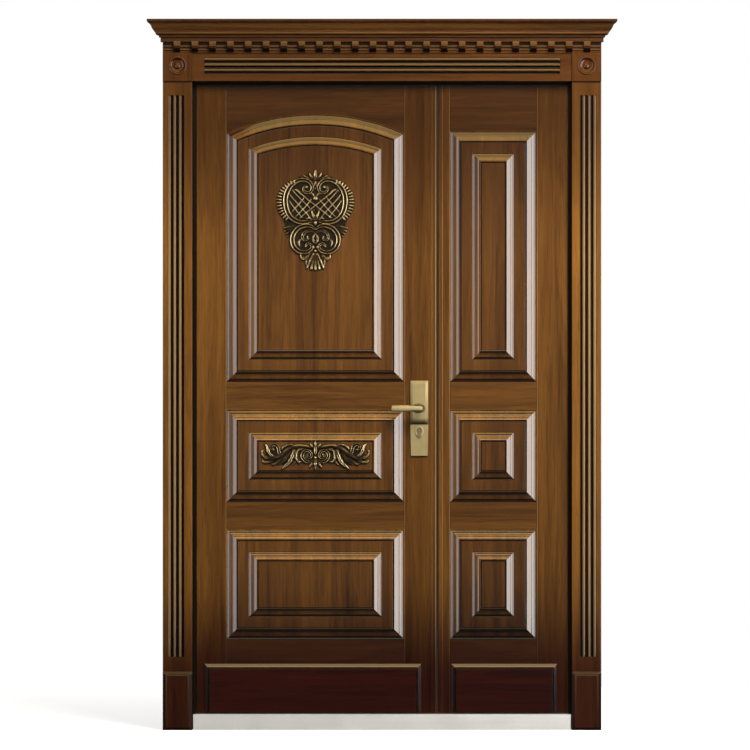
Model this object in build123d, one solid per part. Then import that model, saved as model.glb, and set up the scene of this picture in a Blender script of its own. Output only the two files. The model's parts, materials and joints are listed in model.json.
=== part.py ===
from build123d import *
import math
import os

os.makedirs("parts", exist_ok=True)

# Frame axes: x across the door from its middle, y inwards from the outer wall plane, z up from the floor

# Folded steel frame in the wall
stop_half = 604
stop_head = 2090
rebate = 14
stop_depth = 14
frame_depth = 75
frame_return = 37
return_lip = 15
frame_wall = 2
gasket_width = 10
gasket_thick = 3.7
gasket_inset = 2
gasket_gap = 0.3

# Wall lugs behind the jambs, with their anchor holes
lug_thick = 4
lug_height = 50
lug_reach = 45
lug_lap = 15
lug_hole_radius = 6.5
lug_hole_edge = 20
lug_levels = (350, 1100, 1850)

# Threshold
threshold_height = 50
threshold_step = 10
threshold_nose = 24
threshold_wall = 2
threshold_end_gap = 3

# Casing round the opening
casing_reveal = 11
pilaster_width = 95
pilaster_thick = 30
plinth_height = 190
plinth_thick = 38
plinth_bevel = 9
plinth_bevel_depth = 5
flute_pitch = 17.6
flute_width = 8.5
flute_depth = 8
flute_end = 45
flute_count = 3
frieze_height = 91
frieze_flute_end = 38
rosette_lift = 5
block_thick = 36
block_bevel = 7
block_bevel_depth = 4
rosette_radius = 24
rosette_depth = 7
boss_radius = 11
boss_rise = 6

# Dentil band and crown cornice
band_height = 37
band_thick = 33
dentil_count = 24
dentil_inset = 46.5
dentil_width = 21
dentil_height = 33
dentil_proud = 16
dentil_face = 17
dentil_heel = 4
fillet_height = 4
fillet_proud = 3
fillet_level_shares = (0.27, 0.56)
cornice_height = 71
cornice_reach = 50
cornice_shares = (
    (0.0, 0.14),
    (0.2, 0.14),
    (0.22, 0.24),
    (0.3, 0.26),
    (0.32, 0.36),
    (0.42, 0.46),
    (0.48, 0.5),
    (0.5, 0.58),
    (0.58, 0.62),
    (0.72, 0.74),
    (0.84, 0.9),
    (0.89, 0.94),
    (0.9, 1.0),
    (1.0, 1.0),
)

# Leaves: steel core, outer and inner cladding, and the clearances round them
leaf_gap = 6
core_depth = 45
skin = 2
cladding_thick = 15
inner_thick = 10
cladding_gap = 3
cladding_lift = 4
main_leaf_share = 0.6465
meeting_gap = 5.5
meeting_setback = 3
inner_groove = 3
inner_border = 90

# Stiles, rails and raised panels
hinge_stile = 96
lock_stile = 104
meeting_stile = 37.5
outer_stile = 98
meeting_bead = 13
bead_groove = 2.5
bead_round = 4
bottom_rail = 238
lower_panel_height = 358
lower_rail = 87
middle_panel_height = 301
upper_rail = 89
top_rail = 90
side_top_rail = 145
arch_rise = 63
rim_width = 2
rim_height = 0.4
quirk_wall = 2
quirk_width = 1
quirk_depth = 2
lobe_run = 13
lobe_rise = 5
lobe_step = 2
crest_width = 1.5
crest_wall = 2
crest_fall = 3
margin_width = 36
inner_quirk_depth = 1.4
inner_lobe_run = 11
inner_lobe_rise = 4.1
inner_crest_fall = 3.8

# Kick boards
kick_height = 157
kick_lift = 3
kick_thick = 8
kick_bevel = 14
kick_edge = 2
main_kick_hinge_inset = 24
main_kick_lock_inset = 49
side_kick_meeting_inset = 41
side_kick_hinge_inset = 31

# Stiffening ribs and insulation inside the leaves
rib_wall = 1.5
rib_crown = 30
rib_slant = 5
rib_flange = 16
rib_end_gap = 14
main_rib_shares = (0.15, 0.35, 0.55, 0.72)
side_rib_shares = (0.42, 0.78)
slab_gap = 3
lock_zone = 150

# Hinges: wings in the gap beside the leaf, knuckles behind the frame
knuckle_radius = 8
knuckle_stand = 9
hinge_height = 110
wing_thick = 2.7
wing_width = 45
pin_radius = 5
pin_fit = 0.05
knuckle_gap = 0.4
hinge_levels = (300, 1090, 1860)

# Lock, levers, key cylinder and bolts
lock_backset = 56
lever_z = 1042
key_drop = 71
plate_width = 59
plate_foot_width = 54
plate_over_lever = 90
plate_under_key = 84
plate_base = 5
plate_raise = 4
plate_bevel = 10
plate_step_drop = 29
scoop_radius = 14
scoop_depth = 3
rose_width = 47
rose_height = 30
rose_thick = 4
escutcheon_width = 25
escutcheon_height = 37
escutcheon_thick = 3
inner_plate_thick = 7
inner_plate_bevel = 3
neck_radius = 9
neck_length = 30
lever_length = 107
lever_overhang = 17
lever_height = 21
lever_thick = 14
lever_round = 5
spindle_size = 8
spindle_room = 7
spindle_gap = 0.4
hub_radius = 12
hub_thick = 14
cylinder_radius = 8.5
cylinder_lobe_width = 10
cylinder_drop = 24
cylinder_gap = 0.4
cylinder_proud = 3
plug_radius = 6.5
plug_fit = 0.05
plug_inset = 6
keyway_width = 2.5
keyway_height = 9
keyway_depth = 8
turn_radius = 11
turn_thick = 5
turn_wing_width = 6
turn_wing_length = 30
turn_wing_thick = 14
case_width = 87
case_over_lever = 118
case_under_key = 91
case_depth = 29
case_wall = 2
forend_thick = 3
forend_width = 25
forend_end = 20
bolt_radius = 9
bolt_pitch = 80
bolt_count = 3
bolt_tip_inset = 0.3
bolt_gap = 0.4
carriage_width = 6
carriage_depth = 14
carriage_back = 35
rod_radius = 6
rod_inset = 24
rod_gap = 0.4
rod_tip_inset = 1
rod_entry = 38
keeper_gap = 1.5

# Flush bolts of the side leaf
flush_inset = 22
flush_length = 315
tab_height = 30
tab_depth = 8
tab_level = 25
tab_travel = 22
tab_gap = 3
tab_sink = 0.8

# Carved ornaments on the two upper panels of the main leaf
medallion_half_width = 128
medallion_lift = 91
scroll_half_width = 178
scroll_lift = 0.5
carving_base = 3
carving_leaf = 7
carving_strap = 9
cut_over = 20

# Lines of the carvings' left halves, as shares of the half width: place across, place up and half breadth
medallion_strap_shares = (
    (
        (-0.023, -0.016, 0.035), (-0.203, -0.055, 0.051), (-0.438, -0.047, 0.062),
        (-0.641, 0.094, 0.07), (-0.742, 0.328, 0.074), (-0.75, 0.594, 0.074), (-0.648, 0.836, 0.07),
        (-0.453, 0.992, 0.062), (-0.25, 1.008, 0.055), (-0.109, 0.914, 0.051), (-0.086, 0.773, 0.047),
        (-0.172, 0.688, 0.043), (-0.281, 0.719, 0.039), (-0.297, 0.812, 0.035), (-0.227, 0.852, 0.027),
    ),
    (
        (-0.547, 0.766, 0.031), (-0.406, 0.656, 0.039), (-0.234, 0.516, 0.039), (-0.094, 0.438, 0.039),
        (0, 0.375, 0.035),
    ),
    (
        (-0.688, 0.469, 0.027), (-0.531, 0.375, 0.043), (-0.391, 0.234, 0.043), (-0.312, 0.078, 0.031),
    ),
    (
        (-0.672, 0.656, 0.023), (-0.562, 0.516, 0.035), (-0.422, 0.391, 0.039), (-0.266, 0.266, 0.039),
        (-0.172, 0.141, 0.027),
    ),
    (
        (-0.578, 0.188, 0.023), (-0.453, 0.312, 0.035), (-0.344, 0.453, 0.035), (-0.281, 0.594, 0.027),
    ),
    (
        (-0.391, 0.094, 0.023), (-0.281, 0.219, 0.035), (-0.156, 0.344, 0.035), (-0.047, 0.438, 0.035),
        (0, 0.5, 0.035),
    ),
    (
        (-0.016, 0.062, 0.023), (-0.078, 0.031, 0.035), (-0.133, 0.078, 0.039), (-0.109, 0.156, 0.035),
        (-0.047, 0.172, 0.031),
    ),
    (
        (-0.016, -0.234, 0.031), (-0.109, -0.164, 0.047), (-0.25, -0.148, 0.059),
        (-0.422, -0.203, 0.066), (-0.547, -0.344, 0.07), (-0.586, -0.516, 0.07),
        (-0.531, -0.695, 0.066), (-0.391, -0.805, 0.062), (-0.219, -0.812, 0.055),
        (-0.102, -0.734, 0.047), (-0.102, -0.641, 0.039), (-0.195, -0.602, 0.035),
        (-0.25, -0.672, 0.027),
    ),
    (
        (-0.047, -0.312, 0.027), (-0.156, -0.281, 0.035), (-0.266, -0.312, 0.039),
        (-0.328, -0.422, 0.039), (-0.281, -0.516, 0.035), (-0.195, -0.484, 0.031),
        (-0.203, -0.422, 0.023),
    ),
)
medallion_leaf_shares = (
    (
        (-0.609, 0.75, 0.016), (-0.516, 0.766, 0.047), (-0.406, 0.703, 0.055), (-0.359, 0.594, 0.016),
    ),
    (
        (-0.031, 0.594, 0.023), (-0.078, 0.656, 0.039), (-0.141, 0.641, 0.02),
    ),
    (
        (0, 0.312, 0.023), (-0.055, 0.25, 0.039), (-0.141, 0.266, 0.02),
    ),
    (
        (0, 0.766, 0.02), (-0.008, 0.875, 0.051), (0, 0.984, 0.023),
    ),
    (
        (0, 1.031, 0.039), (-0.008, 1.156, 0.062), (0, 1.281, 0.023),
    ),
    (
        (-0.016, 1.031, 0.031), (-0.109, 1.109, 0.047), (-0.156, 1.203, 0.02),
    ),
    (
        (-0.047, 1.016, 0.031), (-0.188, 1.062, 0.043), (-0.328, 1.141, 0.016),
    ),
    (
        (-0.109, 1, 0.023), (-0.281, 1.031, 0.035), (-0.422, 1.094, 0.016),
    ),
    (
        (0, -0.016, 0.023), (0, -0.07, 0.047), (0, -0.141, 0.023),
    ),
    (
        (-0.344, -0.469, 0.023), (-0.422, -0.562, 0.047), (-0.391, -0.688, 0.02),
    ),
    (
        (-0.008, -0.359, 0.023), (-0.062, -0.453, 0.043), (-0.031, -0.562, 0.039), (0, -0.609, 0.023),
    ),
    (
        (-0.156, -0.844, 0.031), (-0.266, -0.984, 0.059), (-0.359, -0.953, 0.047),
        (-0.375, -0.875, 0.023),
    ),
    (
        (-0.156, -0.875, 0.031), (-0.234, -1.062, 0.051), (-0.203, -1.188, 0.02),
    ),
)
medallion_boss_shares = (
    (-0.227, 0.828, 0.043), (-0.008, 0.547, 0.066), (0, -0.07, 0.055), (-0.055, -0.688, 0.047),
    (0, -0.781, 0.043),
)
medallion_ground_shares = (
    (
        (0, 0.75), (-0.109, 0.922), (-0.312, 1), (-0.578, 0.922), (-0.75, 0.688), (-0.797, 0.406),
        (-0.734, 0.141), (-0.547, -0.047), (-0.312, -0.109), (0, -0.062),
    ),
    (
        (0, -0.094), (-0.234, -0.109), (-0.609, -0.156), (-0.609, -0.469), (-0.547, -0.75),
        (-0.344, -0.844), (0, -0.812),
    ),
    (
        (0, 1.016), (-0.203, 1.047), (-0.297, 1.141), (0, 1.172),
    ),
    (
        (0, -0.781), (-0.156, -0.781), (-0.172, -1.172), (0, -1.219),
    ),
    (
        (-0.531, 0.016), (-0.812, 0), (-0.719, -0.219), (-0.594, -0.406), (-0.469, -0.234),
    ),
)
scroll_strap_shares = (
    (
        (-0.022, -0.011, 0.016), (-0.066, -0.087, 0.027), (-0.153, -0.109, 0.033),
        (-0.23, -0.055, 0.036), (-0.24, 0.044, 0.036), (-0.186, 0.12, 0.033), (-0.104, 0.12, 0.03),
        (-0.066, 0.055, 0.027), (-0.098, 0, 0.025), (-0.153, 0.011, 0.022), (-0.153, 0.049, 0.016),
    ),
    (
        (-0.109, 0.148, 0.016), (-0.24, 0.175, 0.033), (-0.383, 0.153, 0.044), (-0.514, 0.066, 0.046),
        (-0.623, -0.011, 0.044), (-0.743, -0.044, 0.036), (-0.852, -0.022, 0.022),
    ),
    (
        (-0.005, -0.033, 0.016), (-0.049, -0.098, 0.025), (-0.104, -0.153, 0.025),
        (-0.126, -0.186, 0.016),
    ),
)
scroll_leaf_shares = (
    (
        (-0.186, 0.033, 0.016), (-0.273, 0.087, 0.027), (-0.339, 0.066, 0.033),
        (-0.361, -0.022, 0.033), (-0.317, -0.077, 0.027), (-0.273, -0.044, 0.016),
    ),
    (
        (-0.393, 0.131, 0.022), (-0.448, 0.022, 0.055), (-0.503, -0.098, 0.049),
        (-0.59, -0.208, 0.016),
    ),
    (
        (-0.47, 0.066, 0.022), (-0.568, -0.044, 0.044), (-0.667, -0.153, 0.016),
    ),
    (
        (-0.35, 0.033, 0.016), (-0.404, -0.077, 0.033), (-0.448, -0.186, 0.014),
    ),
    (
        (-0.361, 0.153, 0.016), (-0.47, 0.208, 0.033), (-0.568, 0.164, 0.014),
    ),
    (
        (-0.525, 0.066, 0.019), (-0.612, 0.109, 0.033), (-0.689, 0.186, 0.033), (-0.645, 0.219, 0.016),
    ),
    (
        (-0.699, -0.022, 0.022), (-0.798, 0.044, 0.044), (-0.874, 0.131, 0.038),
        (-0.913, 0.197, 0.016),
    ),
    (
        (-0.765, -0.033, 0.022), (-0.863, -0.011, 0.036), (-0.951, 0.044, 0.027),
        (-0.995, 0.087, 0.014),
    ),
    (
        (-0.732, -0.055, 0.022), (-0.842, -0.077, 0.036), (-0.962, -0.055, 0.014),
    ),
    (
        (0, 0.033, 0.022), (-0.005, 0.12, 0.038), (0, 0.197, 0.016),
    ),
    (
        (-0.016, 0.098, 0.016), (-0.06, 0.164, 0.027), (-0.071, 0.219, 0.011),
    ),
    (
        (0, 0.175, 0.022), (0, 0.24, 0.025), (0, 0.262, 0.014),
    ),
    (
        (0, -0.044, 0.022), (0, -0.153, 0.041), (0, -0.262, 0.014),
    ),
)
scroll_boss_shares = (
    (-0.71, 0.153, 0.027), (0, -0.011, 0.027),
)
scroll_ground_shares = (
    (
        (0, 0.109), (-0.109, 0.164), (-0.273, 0.164), (-0.328, 0), (-0.219, -0.098), (0, -0.109),
    ),
)
# Rows of ribs set like rays: centre across and up, first angle, turn between ribs, number of ribs,
# inner end, outer end and half breadth; then the shape of one rib as shares of its length and half breadth
medallion_ray_shares = (
    (-0.391, 0.453, 112, 12, 11, 0.4, 0.63, 0.037),
    (-0.344, -0.109, 192, 10, 5, 0.2, 0.47, 0.032),
    (0, -0.75, 246, 12, 3, 0.1, 0.5, 0.05),
)
rib_shares = ((0.0, 0.6), (0.6, 1.0), (1.0, 0.4))
carving_runs = 2
boss_sides = 14

# Places worked out from the sizes above
rebate_half = stop_half + rebate
frame_half = rebate_half + frame_return
rebate_head = stop_head + rebate
frame_top = rebate_head + frame_return
casing_half = stop_half + casing_reveal
casing_outer = casing_half + pilaster_width
casing_top = stop_head + casing_reveal
frieze_top = casing_top + frieze_height
band_top = frieze_top + band_height
threshold_back = threshold_height - threshold_step
core_front = stop_depth + gasket_thick + gasket_gap
core_back = core_front + core_depth
face = core_front - cladding_thick
inner_face = core_back + inner_thick
core_mid = (core_front + core_back) / 2
steel_foot = threshold_back + leaf_gap
steel_top = rebate_head - leaf_gap
steel_half = rebate_half - leaf_gap
clad_half = stop_half - cladding_gap
clad_foot = threshold_height + cladding_lift
clad_top = stop_head - cladding_gap
meeting_edge = (2 * main_leaf_share - 1) * stop_half
side_edge = meeting_edge + meeting_gap
steel_edge = meeting_edge - meeting_setback
lock_x = meeting_edge - lock_backset
pivot_x = rebate_half - leaf_gap / 2
pivot_y = frame_depth + knuckle_stand
key_z = lever_z - key_drop
plate_top = lever_z + plate_over_lever
plate_foot = key_z - plate_under_key
plate_step_z = lever_z - plate_step_drop
case_top = lever_z + case_over_lever
case_foot = key_z - case_under_key
lower_panel_base = clad_foot + bottom_rail
lower_panel_top = lower_panel_base + lower_panel_height
middle_panel_base = lower_panel_top + lower_rail
middle_panel_top = middle_panel_base + middle_panel_height
upper_panel_base = middle_panel_top + upper_rail
upper_panel_spring = clad_top - top_rail - arch_rise
side_upper_top = clad_top - side_top_rail
margin_height = 2 * lobe_rise - quirk_depth - crest_fall
field_height = margin_height - inner_quirk_depth + 2 * inner_lobe_rise - inner_crest_fall
medallion_level = (upper_panel_base + upper_panel_spring + arch_rise) / 2 + medallion_lift
scroll_level = (middle_panel_base + middle_panel_top) / 2 + scroll_lift
main_panel_x = (hinge_stile - clad_half, meeting_edge - lock_stile)
side_panel_x = (side_edge + meeting_stile, clad_half - outer_stile)
main_centre = sum(main_panel_x) / 2
field_face = face - field_height
case_right = steel_edge - forend_thick
case_left = case_right - case_width
case_front = core_mid - case_depth / 2
case_back = core_mid + case_depth / 2
rod_x = steel_edge - rod_inset
flush_x = side_edge + flush_inset


def front(y):
    """A drawing plane facing the street at depth y, with its own x across and y up."""
    return Plane(origin=(0, y, 0), x_dir=(1, 0, 0), z_dir=(0, -1, 0))


def save(node, *solids):
    """Write a node, as one solid or as a group of separate ones."""
    shape = solids[0] if len(solids) == 1 else Compound(list(solids))
    export_step(shape, f"parts/{node}.step")


def slab(x0, x1, y0, y1, z0, z1):
    """A straight-edged block between two corners."""
    centre = Pos((x0 + x1) / 2, (y0 + y1) / 2, (z0 + z1) / 2)
    return centre * Box(abs(x1 - x0), abs(y1 - y0), abs(z1 - z0))


def rod(x, y, z0, z1, radius):
    """A round bar standing upright from z0 to z1."""
    return Pos(x, y, (z0 + z1) / 2) * Cylinder(radius, z1 - z0)


def pin(x, z, y0, y1, radius):
    """A round bar lying along y from y0 to y1."""
    return Pos(x, (y0 + y1) / 2, z) * Rot(90, 0, 0) * Cylinder(radius, abs(y1 - y0))


def mirrored(shape):
    """The same piece on the other side of the door's middle plane."""
    return mirror(shape, about=Plane.YZ)


def folded(points, left, right):
    """The section of a folded sheet: its fold line carried to the left and the right, with mitred corners."""
    runs = [Vector(*b) - Vector(*a) for a, b in zip(points, points[1:])]
    normals = [Vector(-run.Y, run.X).normalized() for run in runs]
    before = [normals[0]] + normals
    after = normals + [normals[-1]]
    mitres = [(a + b) / (1 + a.dot(b)) for a, b in zip(before, after)]
    near = [Vector(*p) + m * left for p, m in zip(points, mitres)]
    far = [Vector(*p) - m * right for p, m in zip(points, mitres)]
    return make_face(Polyline(*near, *reversed(far), close=True))


def frame_section(outer, stop, depth_first):
    """The folded frame section, from the casing side round the stop and the rebate to the rear return."""
    back = stop + math.copysign(rebate, outer - stop)
    points = [
        (outer, 0),
        (stop, 0),
        (stop, stop_depth),
        (back, stop_depth),
        (back, frame_depth),
        (outer, frame_depth),
        (outer, frame_depth - return_lip),
    ]
    if depth_first:
        points = [(y, z) for z, y in points]
    return folded(points, frame_wall, 0)


def frame_steel():
    """Two jambs and a head, mitred at the top corners, and the gasket strips on their stops."""
    reach = frame_depth + cut_over
    jamb = extrude(frame_section(-frame_half, -stop_half, False), frame_top, dir=(0, 0, 1))
    corner = [(-frame_half, 0), (-stop_half, 0), (-stop_half, stop_head), (-frame_half, frame_top)]
    jamb_room = extrude(front(reach) * make_face(Polyline(*corner, close=True)), reach + cut_over)
    jamb = jamb & jamb_room
    save("left_jamb", jamb)
    save("right_jamb", mirrored(jamb))

    section = Plane.YZ.offset(-frame_half) * frame_section(frame_top, stop_head, True)
    head = extrude(section, 2 * frame_half, dir=(1, 0, 0))
    top = [(-stop_half, stop_head), (stop_half, stop_head), (frame_half, frame_top), (-frame_half, frame_top)]
    head = head & extrude(front(reach) * make_face(Polyline(*top, close=True)), reach + cut_over)
    keeper = rod_radius + keeper_gap
    for x in (rod_x, flush_x):
        head -= rod(x, core_mid, rebate_head - frame_wall, rebate_head + 2 * frame_wall, keeper)
    save("frame_head", head)

    inner = stop_half + gasket_inset
    back = stop_depth + gasket_thick
    strip_top = stop_head + gasket_inset
    outer = inner + gasket_width
    left = slab(-outer, -inner, stop_depth, back, threshold_height, strip_top)
    over = slab(-outer, outer, stop_depth, back, strip_top, strip_top + gasket_width)
    save("frame_gasket", left, mirrored(left), over)


def threshold():
    """The folded stainless sill: nose, raised lip before the leaves' foot, and the lower tread behind it."""
    points = [
        (-threshold_nose, 0),
        (-threshold_nose, threshold_height),
        (stop_depth, threshold_height),
        (stop_depth, threshold_back),
        (frame_depth, threshold_back),
        (frame_depth, 0),
    ]
    half = casing_half - threshold_end_gap
    sill = extrude(Plane.YZ.offset(-half) * folded(points, 0, threshold_wall), 2 * half, dir=(1, 0, 0))
    end = half + cut_over
    top = threshold_height + cut_over
    for side in (-1, 1):
        sill -= slab(side * stop_half, side * end, 0, stop_depth, 0, top)
    low = threshold_back - 2 * threshold_wall
    for x in (rod_x, flush_x):
        sill -= rod(x, core_mid, low, threshold_back + threshold_wall, rod_radius + keeper_gap)
    save("threshold", sill)


def wall_lugs():
    """Flat steel lugs on the back of the jambs, each with one anchor hole."""
    lugs = []
    for z in lug_levels:
        outer = frame_half + lug_reach
        lug = slab(-outer, lug_lap - frame_half, frame_depth, frame_depth + lug_thick,
                   z - lug_height / 2, z + lug_height / 2)
        lug -= pin(lug_hole_edge - outer, z, frame_depth - cut_over, frame_depth + cut_over, lug_hole_radius)
        lugs += [lug, mirrored(lug)]
    save("wall_lugs", *lugs)


def rectangle(x0, x1, z0, z1):
    """An outline function: the rectangle, drawn in by any inset."""
    def outline(inset):
        centre = Pos((x0 + x1) / 2, (z0 + z1) / 2)
        return centre * Rectangle(x1 - x0 - 2 * inset, z1 - z0 - 2 * inset)
    return outline


def arch_top(x0, x1, z0, spring, rise):
    """An outline function: a rectangle with a segmental arch on top, drawn in by any inset."""
    half = (x1 - x0) / 2
    middle = (x0 + x1) / 2
    radius = (half**2 + rise**2) / (2 * rise)
    centre = spring + rise - radius

    def outline(inset):
        reach = half - inset
        shoulder = centre + math.sqrt((radius - inset) ** 2 - reach**2)
        left = (middle - reach, shoulder)
        right = (middle + reach, shoulder)
        foot = z0 + inset
        sides = Polyline(left, (middle - reach, foot), (middle + reach, foot), right)
        return make_face([*sides.edges(), ThreePointArc(right, (middle, centre + radius - inset), left)])
    return outline


def raised(outline, back, level, steps):
    """A board whose front rises and falls from its edge inwards; each step is an inset and a height."""
    body = extrude(front(back) * outline(0), back - level + steps[0][1])
    for (near, low), (far, high) in zip(steps, steps[1:]):
        if low == high:
            continue
        tier = loft([front(level - low) * outline(near), front(level - high) * outline(far)], ruled=True)
        body = body + tier if high > low else body - tier
    return body


def fluted(board, level, spots, length, upright):
    """The board with round-ended flutes cut into its front; each spot is the middle of one flute."""
    turn = Rot(0, 0, 90) if upright else Rot(0, 0, 0)
    for x, z in spots:
        outline = Pos(x, z) * turn * SlotOverall(length, flute_width)
        board -= extrude(front(level + flute_depth) * outline, flute_depth + cut_over)
    return board


def flute_offsets():
    """Places of the flutes about the middle of their board."""
    return [(i - (flute_count - 1) / 2) * flute_pitch for i in range(flute_count)]


def pilasters():
    """Fluted pilasters on plinth blocks, with turned rosette blocks on top."""
    middle = -(casing_half + casing_outer) / 2
    centre = (plinth_height + casing_top) / 2
    length = casing_top - plinth_height - 2 * flute_end
    pilaster = slab(-casing_outer, -casing_half, -pilaster_thick, 0, plinth_height, casing_top)
    spots = [(middle + offset, centre) for offset in flute_offsets()]
    pilaster = fluted(pilaster, -pilaster_thick, spots, length, True)
    save("left_pilaster", pilaster)
    save("right_pilaster", mirrored(pilaster))

    bevel = [(0, -plinth_bevel_depth), (plinth_bevel, 0)]
    plinth = raised(rectangle(-casing_outer, -casing_half, 0, plinth_height), 0, -plinth_thick, bevel)
    save("left_plinth_block", plinth)
    save("right_plinth_block", mirrored(plinth))

    bevel = [(0, -block_bevel_depth), (block_bevel, 0)]
    block = raised(rectangle(-casing_outer, -casing_half, casing_top, frieze_top), 0, -block_thick, bevel)
    level = casing_top + frieze_height / 2 + rosette_lift
    dish_floor = rosette_depth - block_thick
    slope = (rosette_radius + boss_radius) / 2
    dish_edge = [(0, -block_thick), (rosette_radius, -block_thick), (slope, dish_floor), (0, dish_floor)]
    dish = make_face(Polyline(*dish_edge, close=True))
    ball = (boss_radius**2 + boss_rise**2) / (2 * boss_rise)
    lean = math.asin(boss_radius / ball) / 2
    crown = dish_floor - boss_rise
    halfway = (ball * math.sin(lean), crown + ball - ball * math.cos(lean))
    dome_edge = [ThreePointArc((boss_radius, dish_floor), halfway, (0, crown))]
    dome_edge += Polyline((0, crown), (0, dish_floor), (boss_radius, dish_floor)).edges()
    dome = make_face(dome_edge)
    spot = Pos(middle, 0, level)
    block -= spot * revolve(dish, Axis.Y)
    block += spot * revolve(dome, Axis.Y)
    save("left_rosette_block", block)
    save("right_rosette_block", mirrored(block))


def entablature():
    """Fluted frieze board, dentil band and stepped crown cornice with returned ends."""
    level = casing_top + frieze_height / 2
    frieze = slab(-casing_half, casing_half, -pilaster_thick, 0, casing_top, frieze_top)
    spots = [(0, level + offset) for offset in flute_offsets()]
    frieze = fluted(frieze, -pilaster_thick, spots, 2 * (casing_half - frieze_flute_end), False)
    save("frieze_board", frieze)

    band = slab(-casing_outer, casing_outer, -band_thick, 0, frieze_top, band_top)
    for share in fillet_level_shares:
        z = frieze_top + share * band_height
        band += slab(-casing_outer, casing_outer, -band_thick - fillet_proud, 0, z, z + fillet_height)
    foot = band_top - dentil_height
    nose = -band_thick - dentil_proud
    profile = [
        (0, band_top),
        (nose, band_top),
        (nose, band_top - dentil_face),
        (-band_thick - dentil_heel, foot),
        (0, foot),
    ]
    dentil = extrude(Plane.YZ * make_face(Polyline(*profile, close=True)), dentil_width / 2, both=True)
    for i in range(dentil_count):
        share = i / (dentil_count - 1)
        band += Pos((2 * share - 1) * (casing_outer - dentil_inset), 0, 0) * dentil
    save("dentil_band", band)

    def plan(up, out):
        reach = cornice_reach * out
        depth = pilaster_thick + reach
        spot = Pos(0, -depth / 2, band_top + cornice_height * up)
        return spot * Rectangle(2 * (casing_outer + reach), depth)

    tiers = [
        loft([plan(*low), plan(*high)], ruled=True)
        for low, high in zip(cornice_shares, cornice_shares[1:])
    ]
    cornice = tiers[0]
    for tier in tiers[1:]:
        cornice += tier
    save("crown_cornice", cornice)


def hinge(x_side, level):
    """One lift-off hinge: frame half with its pin, and leaf half bored to turn on it."""
    x = x_side * pivot_x
    low = level - hinge_height / 2
    high = level + hinge_height / 2
    wing_front = frame_depth - wing_width
    half_gap = knuckle_gap / 2

    def half(outer_x, inner_x, foot, top):
        plate = slab(outer_x, inner_x, wing_front, frame_depth, low, high)
        plate += slab(outer_x, inner_x, frame_depth, pivot_y, foot, top)
        return plate + rod(x, pivot_y, foot, top, knuckle_radius)

    outer = x_side * rebate_half
    frame_half_hinge = half(outer, outer - x_side * wing_thick, low, level - half_gap)
    frame_half_hinge += rod(x, pivot_y, level - half_gap, high, pin_radius)
    edge = x_side * steel_half
    leaf_half = half(edge, edge + x_side * wing_thick, level + half_gap, high)
    leaf_half -= rod(x, pivot_y, level - cut_over, high + cut_over, pin_radius + pin_fit)
    return frame_half_hinge, leaf_half


def hinges():
    """Three hinges on each leaf."""
    for name, side in (("main", -1), ("side", 1)):
        pairs = [hinge(side, z) for z in hinge_levels]
        save(f"{name}_hinge_pins", *[pair[0] for pair in pairs])
        save(f"{name}_hinge_leaves", *[pair[1] for pair in pairs])


def through_lock(shape):
    """The same piece with its holes for the lever spindle and the key cylinder."""
    shape -= pin(lock_x, lever_z, -plate_width, inner_face + plate_width, spindle_room)
    return shape - key_cylinder(-plate_width, inner_face + plate_width, cylinder_gap)


def key_cylinder(y0, y1, gap):
    """The keyhole-shaped bar of a profile cylinder, larger all round by a gap."""
    bar = pin(lock_x, key_z, y0, y1, cylinder_radius + gap)
    half = cylinder_lobe_width / 2 + gap
    return bar + slab(lock_x - half, lock_x + half, y0, y1, key_z - cylinder_drop - gap, key_z)


def forend_plate(x0, x1):
    """A flat plate in a leaf's meeting edge, as long and wide as the lock's forend."""
    half = forend_width / 2
    return slab(x0, x1, core_mid - half, core_mid + half, case_foot - forend_end, case_top + forend_end)


def steel_core(name, x0, x1, edge, rib_shares, room):
    """Outer pan with folded edges, inner sheet, hat-section ribs and insulation slabs of one leaf."""
    front_y = core_front + skin
    back_y = core_back - skin
    low = steel_foot + skin
    high = steel_top - skin
    pan = slab(x0, x1, core_front, core_back, steel_foot, steel_top)
    pan -= slab(x0 + skin, x1 - skin, front_y, core_back + cut_over, low, high)
    sheet = slab(x0 + skin, x1 - skin, back_y, core_back, low, high)
    foot = steel_foot + rib_end_gap
    top = steel_top - rib_end_gap
    ribs = []
    slabs = []
    start = x0 + skin + slab_gap if room > 0 else x0 - room
    for share in rib_shares:
        x = x0 + share * (x1 - x0)
        crown = rib_crown / 2
        base = crown + rib_slant
        near = front_y + rib_wall / 2
        far = back_y - rib_wall / 2
        points = [
            (x - base - rib_flange, near),
            (x - base, near),
            (x - crown, far),
            (x + crown, far),
            (x + base, near),
            (x + base + rib_flange, near),
        ]
        section = folded(points, rib_wall / 2, rib_wall / 2)
        ribs.append(extrude(Pos(0, 0, foot) * section, top - foot, dir=(0, 0, 1)))
        clear = base + rib_flange + slab_gap
        slabs.append(slab(start, x - clear, front_y, back_y, foot, top))
        start = x + clear
    last = x1 - room if room > 0 else x1 - skin - slab_gap
    slabs.append(slab(start, last, front_y, back_y, foot, top))
    rod_side = rod_x if room > 0 else flush_x
    for z in (steel_foot, steel_top - skin):
        pan -= rod(rod_side, core_mid, z - skin, z + 2 * skin, rod_radius + rod_gap)
    pan -= forend_plate(edge - skin - cut_over, edge + skin + cut_over)
    save(f"{name}_stiffeners", *ribs)
    save(f"{name}_insulation", *slabs)
    return pan, sheet


def inner_board(x0, x1):
    """The plain inner cladding with one shallow groove round its border."""
    board = slab(x0, x1, core_back, inner_face, clad_foot, clad_top)
    outer = rectangle(x0 + inner_border, x1 - inner_border, clad_foot + inner_border, clad_top - inner_border)
    ring = outer(0) - outer(inner_groove)
    return board - extrude(front(inner_face) * ring, inner_groove)


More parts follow.
